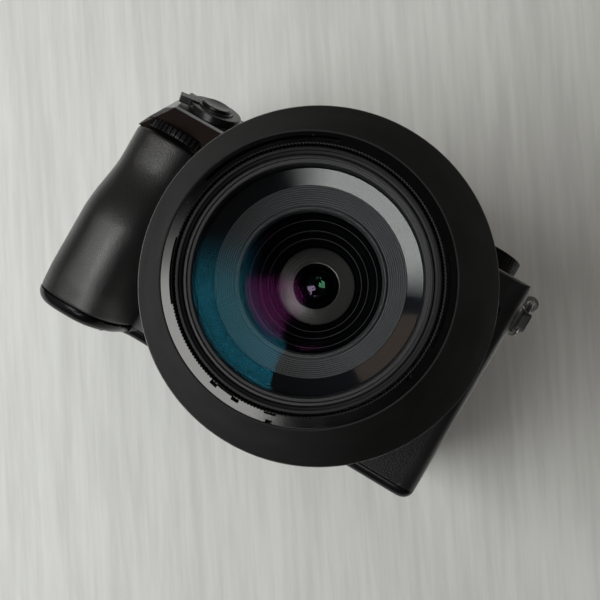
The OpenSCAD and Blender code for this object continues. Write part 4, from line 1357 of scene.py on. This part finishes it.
@dataclass
class BodyShell:
    """The covers of the body and what stays hidden inside them."""

    soft: float = 0.55
    left: float = -84.0
    right: float = 64.0
    front: float = -22.0
    rear: float = 24.0
    corner: float = 7.0
    edge: float = 4.1
    step: float = 1.1
    passes: int = 3

    def plan(self) -> np.ndarray:
        """Outline of the base, with the grip's foot, in even steps.

        Returns:
            Points of the closed line, smoothed a little.
        """
        grip = HandGrip()
        foot = grip.section(grip.bottom + grip.edge)[:, :2]
        sides = fillet([(foot[-1][0] + 3.0, self.front), (self.right, self.front, self.corner),
                        (self.right, self.rear, self.corner), (self.left, self.rear, self.corner),
                        (self.left, -12.0)], steps=8)
        loop = np.vstack([foot, sides, foot[:1]])
        along = np.concatenate([[0.0], np.cumsum(np.linalg.norm(np.diff(loop, axis=0), axis=1))])
        even = np.linspace(0.0, along[-1], int(along[-1] / self.step), endpoint=False)
        line = np.column_stack([np.interp(even, along, loop[:, k]) for k in (0, 1)])
        for _ in range(self.passes):
            line = (np.roll(line, 1, 0) + 2.0 * line + np.roll(line, -1, 0)) / 4.0
        return line

    def base(self) -> None:
        """Round the base plate's lower edge: a copy of it is cut down to a soft-edged slab."""
        turn = np.linspace(0.0, math.pi / 2, 10)
        layers = [(-self.edge * (1.0 - math.sin(t)), self.edge * (1.0 - math.cos(t)) - 0.004) for t in turn]
        layers.append((0.4, self.edge + 1.0))
        slab_form = slab("base_form", self.plan(), layers, Spot((0.0, 0.0, 0.0)))
        plate = bpy.data.objects.new("base_plate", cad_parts["bottom_plate"].data.copy())
        bpy.context.scene.collection.objects.link(plate)
        plate.modifiers.new("weld", "WELD").merge_threshold = WELD
        cut = plate.modifiers.new("trim", "BOOLEAN")
        cut.operation, cut.solver, cut.object = "INTERSECT", "EXACT", slab_form
        trimmed = bpy.data.meshes.new_from_object(plate.evaluated_get(bpy.context.evaluated_depsgraph_get()))
        plate.modifiers.clear()
        plate.data = trimmed
        trimmed.shade_smooth()
        trimmed.set_sharp_from_angle(angle=math.radians(CRISP))
        bpy.data.objects.remove(slab_form)
        settle(plate, BASE, Slot.COVER, "camera_body", "bottom_plate")

    def build(self) -> None:
        """Dress the covers and the pieces inside."""
        for node in ("front_cover", "rear_cover"):
            keep(node, COVER, self.soft, 3)
        # the turret's front gets painted shade from this finish
        keep("top_cover", TOP, self.soft, 3)
        self.base()
        keep("front_skin", SKIN, 0.25)
        inside: dict[str, Finish] = {
            "chassis": ALLOY, "screws": DARK_STEEL, "shutter_unit": PIT, "sensor_unit": CELL,
            "main_board": BOARD, "battery": CELL, "card_slot": STEEL, "port_block": PLASTIC,
            "tripod_socket": STEEL,
        }
        for node, finish in inside.items():
            keep(node, finish)


@dataclass(frozen=True)
class Wheel:
    """A finger wheel with a toothed rim, which stands for a dial of the frame."""

    name: str
    spot: Spot
    rim: float
    faces: Pair
    teeth: int
    depth: float

    def build(self) -> None:
        """Turn the wheel, with a shallow dish in its top."""
        low, high = self.faces
        profile = fillet([(0.0, low), (self.rim, low, 0.5), (self.rim, high, 0.5),
                          (self.rim - 2.2, high, 0.1), (self.rim - 2.5, high - 0.3, 0.1), (0.0, high - 0.3)],
                         steps=4)
        teeth = knurl(self.teeth, self.depth, self.rim - 0.9, 3.0)
        wheel = lathe(self.name + "_wheel", profile, self.spot, self.teeth * 10, loop=False, shape=teeth)
        settle(wheel, DIAL, Slot.ANODISED, self.name + "_dial", self.name + "_dial")


@dataclass
class TopControls:
    """Dials, buttons, lever, display and shoe on the upper side, and the lens release."""

    shutter: Spot = Spot((-62.0, -36.0, 83.0), (0.0, -0.44721, 0.89443))
    front: Wheel = Wheel(
        "front", Spot((-68.0, -32.5, 0.0)), rim=13.0, faces=(69.2, 72.2), teeth=44, depth=0.65)
    rear: Wheel = Wheel(
        "rear", Spot((-62.0, 16.5, 0.0)), rim=10.5, faces=(79.6, 83.4), teeth=36, depth=0.5)
    mode: Wheel = Wheel(
        "mode", Spot((45.0, 3.0, 0.0)), rim=14.0, faces=(88.3, 95.9), teeth=64, depth=0.5)
    button: Spot = Spot((-66.0, -9.0, 0.0))
    mark_count: int = 10
    mark_span: Pair = (8.6, 11.0)
    mark_half: float = 0.35
    mark_heights: Pair = (95.55, 95.68)

    def marks(self) -> None:
        """Short index lines round the mode dial's top."""
        quads = ((0, 1, 3, 2), (4, 6, 7, 5), (0, 4, 5, 1), (2, 3, 7, 6), (1, 5, 7, 3), (0, 2, 6, 4))
        points, faces = [], []
        for k in range(self.mark_count):
            turn = math.radians(360.0 / self.mark_count * (k + 0.5))
            along = np.array([math.cos(turn), math.sin(turn), 0.0])
            aside = np.array([-along[1], along[0], 0.0]) * self.mark_half
            faces += [[len(points) + i for i in quad] for quad in quads]
            for r in self.mark_span:
                for side in (-1, 1):
                    points += [along * r + aside * side + (0.0, 0.0, up) for up in self.mark_heights]
        plate = make("mode_marks", self.mode.spot.lay(np.array(points)), faces)
        settle(plate, WHITE, Slot.PLASTIC, "mode_dial")

    def build(self) -> None:
        """Make the dials and buttons and dress the rest."""
        cap = bowed_top(4.3, 3.85, 0.382, 10)
        cap += fillet([(4.45, 4.27), (5.0, 4.2, 0.35), (5.0, 0.4), (0.0, 0.4)], steps=4)
        release = lathe("release_button", cap, self.shutter, 96, loop=False)
        settle(release, DIAL, Slot.ANODISED, "shutter_button", "shutter_button")
        keep("power_lever", DIAL, 0.35, 3)
        for wheel in (self.front, self.rear, self.mode):
            wheel.build()
        self.marks()
        cap = bowed_top(3.2, 97.1, -0.5) + [(3.5, 96.2), (3.5, 95.0), (0.0, 95.0)]
        lock = lathe("lock_pin", cap, self.mode.spot, 64, loop=False)
        settle(lock, DIAL, Slot.ANODISED, "mode_lock", "mode_lock")
        cap = bowed_top(2.7, 89.15, -0.25) + [(3.0, 88.6), (3.0, 86.0), (0.0, 86.0)]
        light = lathe("light_button", cap, self.button, 64, loop=False)
        settle(light, PLASTIC, Slot.PLASTIC, "top_button", "top_button")
        keep("hot_shoe", STEEL, 0.15)
        keep("top_display", PANEL)
        keep("lens_release", DIAL, 0.3)


@dataclass
class Finder:
    """The eyepiece: soft cup, glass and dioptre wheel."""

    centre: Spot = Spot((0.0, 0.0, 91.2), (0.0, 1.0, 0.0))
    wheel: Spot = Spot((0.0, 19.0, 93.0), (1.0, 0.0, 0.0), (0.0, 1.0, 0.0))
    teeth: int = 32

    def build(self) -> None:
        """Make the cup and the wheel and dress the glass."""
        outline = outline_box((-19.0, 19.0), (-10.2, 10.2), 7.2, 10)
        lip = [(-0.6, 27.0), (0.0, 27.6), (-0.2, 29.6), (-1.0, 30.0), (-1.0, 30.8), (-0.1, 31.2),
               (0.0, 34.4), (-0.5, 35.6), (-1.5, 36.0), (-3.6, 36.0), (-5.0, 35.4), (-5.8, 34.0),
               (-6.4, 31.0), (-6.8, 27.0)]
        cup = slab("eye_cushion", outline, lip, self.centre, True)
        settle(cup, RUBBER, Slot.RUBBER, "camera_body", "eyecup")
        keep("finder_lens", FINDER, 0.3, 3)
        profile = fillet([(0.0, 15.3), (2.0, 15.3), (2.0, 19.2), (4.2, 19.2, 0.3), (4.2, 26.5, 0.5),
                          (0.0, 26.5)], steps=4)
        teeth = knurl(self.teeth, 0.4, 3.6, 2.0)
        knob = lathe("dioptre_knob", profile, self.wheel, self.teeth * 10, loop=False, shape=teeth)
        settle(knob, PLASTIC, Slot.PLASTIC, "dioptre_dial", "dioptre_dial")


@dataclass
class RearControls:
    """Screen, joystick and push buttons on the back."""

    buttons: tuple[tuple[str, float, float], ...] = (
        ("play_button", -51.0, 20.0), ("menu_button", -64.0, 20.0), ("focus_button", -50.0, 69.0))
    stick: Pair = (-53.0, 55.0)
    stick_teeth: int = 24

    def build(self) -> None:
        """Make the buttons and the stick and dress the screen."""
        for node, x, z in self.buttons:
            spot = Spot((x, 0.0, z), (0.0, 1.0, 0.0))
            cap = bowed_top(3.0, 25.2, -0.35)
            cap += [(3.22, 24.7), (3.3, 24.4), (3.3, 22.0), (0.0, 22.0)]
            settle(lathe(node + "_cap", cap, spot, 64, loop=False), PLASTIC, Slot.PLASTIC, node, node)
        spot = Spot((self.stick[0], 0.0, self.stick[1]), (0.0, 1.0, 0.0))
        cap = bowed_top(3.0, 27.55, 0.45)
        cap += fillet([(3.2, 28.0), (3.8, 27.9, 0.3), (3.8, 25.5, 0.3), (1.6, 25.3, 0.2), (1.6, 20.8),
                       (0.0, 20.8)], steps=4)
        teeth = knurl(self.stick_teeth, 0.3, 3.3, 2.0)
        stick = lathe("stick_cap", cap, spot, self.stick_teeth * 10, loop=False, shape=teeth)
        settle(stick, RUBBER, Slot.PLASTIC, "joystick", "joystick")
        keep("screen_panel", PLASTIC, 0.5, 3)
        keep("screen_glass", SCREEN, 0.2)
        keep("screen_arm", DARK_STEEL, 0.2)


class Side(Enum):
    """The two ends of the body."""

    LEFT = "left"
    RIGHT = "right"


@dataclass
class SideFittings:
    """Strap eyelets with their rings and covers, and the doors."""

    wire: float = 0.8
    half: Pair = (3.0, 6.6)
    drop: float = 12.5
    tab: Pair = (6.6, 3.75)
    tab_drop: float = 7.35
    tab_half: float = 1.8
    tab_edge: float = 0.7
    eyelets: tuple[tuple[Side, float, float, float], ...] = (
        (Side.LEFT, -87.4, 6.0, 74.0), (Side.RIGHT, 67.4, -8.0, 83.8))

    def ring(self, side: Side, x: float, y: float, z: float) -> None:
        """Bend one wire ring and make its cover.

        Args:
            side: the end of the body that it hangs on.
            x: the eyelet's place across.
            y: the eyelet's place in depth.
            z: the eyelet's height.
        """
        corners = [(-self.half[0], 0.0, 1.8), (self.half[0], 0.0, 1.8), (self.half[1], -self.drop, 2.4),
                   (-self.half[1], -self.drop, 2.4)]
        flat = np.array(fillet(corners, True, 8))
        path = np.column_stack([np.full(len(flat), x), y + flat[:, 0], z + flat[:, 1]])
        body = "strap_ring_" + side.value
        settle(tube("wire_ring_" + side.value, path, self.wire), STEEL, Slot.STEEL, body, body)
        spot = Spot((x, y, z - self.tab_drop), (1.0, 0.0, 0.0), (0.0, 1.0, 0.0))
        outline = outline_box((-self.tab[0], self.tab[0]), (-self.tab[1], self.tab[1]), 1.6)
        layers = dome(-self.tab_half, self.tab_half, self.tab_edge)
        tab = slab("ring_tab_" + side.value, outline, layers, spot)
        settle(tab, LEATHER, Slot.PLASTIC, body, "ring_cover_" + side.value)

    def build(self) -> None:
        """Make the rings and dress eyelets and doors."""
        for eyelet in self.eyelets:
            self.ring(*eyelet)
        keep("strap_lugs", STEEL, 0.3, 3)
        for node in ("card_door", "port_cover", "battery_door", "battery_latch"):
            keep(node, PLASTIC, 0.25)


class Reach(Enum):
    """Which surfaces a light works on: all, matt ones only, or mirrors only."""

    ALL = (True, True)
    MATT = (True, False)
    MIRROR = (False, True)


@dataclass(frozen=True)
class Lamp:
    """A soft rectangular light of a given brightness, with its size in metres."""

    name: str
    place: Triple
    target: Triple
    size: Pair
    glow: float
    tint: Colour = (1.0, 1.0, 1.0)
    reach: Reach = Reach.ALL
    from_eye: bool = True  # place and target lie along the picture's axes, not the frame's


@dataclass
class Studio:
    """Pale sheet, soft lights and the viewpoint."""

    # the viewpoint, with its focal length and image size in pixels
    eye: Triple = (14.7305, -275.2765, 48.9314)
    right: Triple = (0.8621, 0.0807, 0.5003)
    up: Triple = (-0.5004, -0.0202, 0.8655)
    ahead: Triple = (-0.08, 0.9965, -0.023)
    focal: float = 711.06
    image: float = 600.0
    sensor: float = 36.0
    nearest: float = 5.0
    # the sheet behind the camera, by its depth and half its size
    sheet: float = 37.0
    sheet_half: float = 1600.0
    # the mirror card: its outline and dark middle in pixels, the planes of filter and card, fades in metres
    card_edge: tuple[Pair, ...] = (
        (-130.0, 60.0), (135.0, 60.0), (150.0, 225.0), (262.0, 225.0), (262.0, 292.0), (276.0, 326.0),
        (286.0, 346.0), (277.0, 362.0), (271.0, 380.0), (271.0, 432.0), (170.0, 470.0), (150.0, 570.0),
        (-130.0, 570.0))
    pupil: Pair = (310.0, 281.0)
    pane: float = -103.1
    card_plane: float = -800.0
    card_ring: Pair = (0.062, 0.105)
    card_rise: Pair = (0.066, -0.020)
    card_glow: float = 5.6
    # the bow: a curved card by its place from the eye, radii and angles, with its fades in metres
    bow_centre: Pair = (-150.0, 30.0)
    bow_radii: Pair = (250.0, 490.0)
    bow_turn: Pair = (168.0, 300.0)
    bow_steps: int = 33
    bow_ahead: float = -220.0
    bow_fade: Pair = (0.15, -0.06)
    bow_end: Pair = (0.03, -0.17)
    bow_glow: float = 4.3
    # the black card, by its place from the eye
    flag_box: tuple[Pair, Pair] = ((-420.0, -110.0), (-260.0, 220.0))
    flag_corner: float = 20.0
    flag_ahead: float = 150.0
    flag_glow: float = 0.1
    # tones of the cards and the room
    lit: Colour = (1.0, 0.99, 0.97)
    unlit: Colour = (0.01, 0.01, 0.01)
    room_tint: Colour = (1.0, 0.93, 0.86)
    room_glow: float = 0.03
    lamps: tuple[Lamp, ...] = (
        Lamp("side_window", (-620.0, -20.0, -160.0), (0.0, 0.0, 300.0), (0.66, 0.66), 5.8,
             (0.985, 1.0, 0.99), Reach.MATT),
        Lamp("warm_card", (-700.0, 560.0, -500.0), (0.0, 0.0, 200.0), (0.5, 0.5), 0.5,
             (1.0, 0.75, 0.55), Reach.MIRROR),
        Lamp("front_fill", (100.0, 330.0, -520.0), (0.0, 30.0, 300.0), (1.2, 1.2), 0.62,
             (1.0, 0.95, 0.89), Reach.MATT),
        Lamp("back_soft_left", (-550.0, 950.0, 300.0), (0.0, 0.0, 50.0), (0.8, 0.8), 9.0, from_eye=False),
        Lamp("back_soft_right", (550.0, 950.0, 300.0), (0.0, 0.0, 50.0), (0.8, 0.8), 9.0, from_eye=False),
        Lamp("top_soft", (400.0, 600.0, 900.0), (0.0, 0.0, 50.0), (0.8, 0.5), 1.0, from_eye=False),
    )

    def at(self, right: float, up: float, ahead: float) -> Vector:
        """A point in metres, by its distances from the eye along the picture's axes."""
        axes = np.array([self.right, self.up, self.ahead])
        return Vector((np.array(self.eye) + np.array([right, up, ahead]) @ axes) * MM)

    def hang(self, lamp: Lamp) -> None:
        """Hang one light and turn it to its target.

        Args:
            lamp: the light.
        """
        data = bpy.data.lights.new(lamp.name, "AREA")
        data.shape, data.size, data.size_y = "RECTANGLE", *lamp.size
        data.energy = lamp.glow * math.pi * lamp.size[0] * lamp.size[1]
        data.color = lamp.tint
        light = bpy.data.objects.new(lamp.name, data)
        bpy.context.scene.collection.objects.link(light)
        place, target = (self.at(*spot) if lamp.from_eye else Vector(shade(spot, MM))
                         for spot in (lamp.place, lamp.target))
        back = (place - target).normalized()
        side = (Vector(self.right) - back * Vector(self.right).dot(back)).normalized()
        axes = Matrix((side, back.cross(side), back)).transposed()
        light.matrix_world = Matrix.Translation(place) @ axes.to_4x4()
        light.visible_camera = False
        light.visible_diffuse, light.visible_glossy = lamp.reach.value

    def mirrored(self, across: float, down: float) -> Triple:
        """Where the flat filter sends a picture point on to.

        Args:
            across: the point's pixel from the left.
            down: the point's pixel from the top.

        Returns:
            The point on the card's plane.
        """
        half = self.image / 2
        ray = np.array(self.ahead) + np.array(self.right) * (across - half) / self.focal
        ray = ray - np.array(self.up) * (down - half) / self.focal
        pane = np.array(self.eye) + ray * (self.pane - self.eye[1]) / ray[1]
        ray[1] = -ray[1]
        return tuple(pane + ray * (self.card_plane - self.pane) / ray[1])

    def show(self, board: bpy.types.Object, paint: Paint, tone: Wire | Colour, glow: float) -> None:
        """Light a card and keep it for mirrors alone.

        Args:
            board: the card's mesh.
            paint: its empty material.
            tone: its colour.
            glow: its brightness.
        """
        shader = paint.node("Emission", None, {"Color": tone, "Strength": glow})
        board.data.materials.append(paint.close(shader))
        board.visible_camera = board.visible_diffuse = board.visible_shadow = False

    def card(self) -> None:
        """Hang a bright card, cut to the outline that the flat filter sends back."""
        points = np.array([self.mirrored(*point) for point in self.card_edge])
        board = make("mirror_card", points, [list(range(len(points)))])
        paint = Paint("card_glow")
        pupil = self.mirrored(*self.pupil)
        ring = paint.span(paint.radius(pupil), *self.card_ring)
        rise = paint.span(paint.along(pupil, self.up), *self.card_rise)
        self.show(board, paint, paint.blend(ring * rise, self.unlit, self.lit), self.card_glow)

    def bow(self) -> None:
        """Hang a curved card at the lower left, which the smooth cone in the lens mirrors as a pale arc."""
        turn = np.radians(np.linspace(*self.bow_turn, self.bow_steps))
        across, up = self.bow_centre
        points = [self.at(across + r * math.cos(t), up + r * math.sin(t), self.bow_ahead) / MM
                  for r in self.bow_radii for t in turn]
        board = make("bow_card", np.array(points), sheet_faces(2, len(turn), False, False))
        paint = Paint("bow_glow")
        rise = paint.span(paint.along(self.eye, self.up), *self.bow_fade)
        run = paint.span(paint.along(self.eye, self.right), *self.bow_end)
        self.show(board, paint, paint.blend(rise * run, self.unlit, self.lit), self.bow_glow)

    def flag(self) -> None:
        """Hang a black card that keeps the bow's light off the outer side of the hand grip."""
        outline = outline_box(*self.flag_box, self.flag_corner)
        points = np.array([self.at(*corner, self.flag_ahead) / MM for corner in outline])
        board = make("black_flag", points, [list(range(len(points)))])
        self.show(board, Paint("flag_black"), self.unlit, self.flag_glow)

    def floor(self) -> None:
        """Lay the pale sheet with its front to the viewpoint."""
        half = self.sheet_half
        square = ((-half, -half), (half, -half), (half, half), (-half, half))
        corners = np.array([(x, self.sheet, z) for x, z in square])
        backdrop = make("pale_sheet", corners, [[0, 1, 2, 3]])
        if backdrop.data.polygons[0].normal.y > 0:
            backdrop.data.flip_normals()
        Paper("pale_paper").dress(backdrop)
        backdrop.visible_shadow = False

    def room(self) -> None:
        """Fill the room with a faint warm light."""
        world = bpy.data.worlds.new("room")
        world.use_nodes = True
        sky = world.node_tree.nodes["Background"]
        sky.inputs["Color"].default_value = (*self.room_tint, 1.0)
        sky.inputs["Strength"].default_value = self.room_glow
        bpy.context.scene.world = world
        bpy.context.scene.view_settings.view_transform = "Standard"

    def viewpoint(self) -> None:
        """Set the photograph's viewpoint."""
        data = bpy.data.cameras.new("viewpoint")
        data.sensor_width, data.lens = self.sensor, self.sensor * self.focal / self.image
        data.clip_start = self.nearest * MM
        camera = bpy.data.objects.new("viewpoint", data)
        axes = Matrix((self.right, self.up, shade(self.ahead, -1.0))).transposed()
        camera.matrix_world = Matrix.Translation(Vector(self.eye) * MM) @ axes.to_4x4()
        bpy.context.scene.collection.objects.link(camera)
        bpy.context.scene.camera = camera

    def build(self) -> None:
        """Lay the sheet, hang cards and lights, fill the room and set the viewpoint."""
        self.floor()
        self.card()
        self.bow()
        self.flag()
        for lamp in self.lamps:
            self.hang(lamp)
        self.room()
        self.viewpoint()


def main() -> None:
    """Build the camera's looks piece by piece, then the studio."""
    logging.basicConfig(level=logging.INFO, format="%(message)s")
    parts = (LensHood(), FilterSet(), LensFront(), LensBarrel(), HandGrip(), BodyShell(), TopControls(),
             Finder(), RearControls(), SideFittings(), Studio())
    for part in parts:
        LOG.info("building %s", type(part).__name__)
        part.build()


if __name__ == "__main__":
    main()
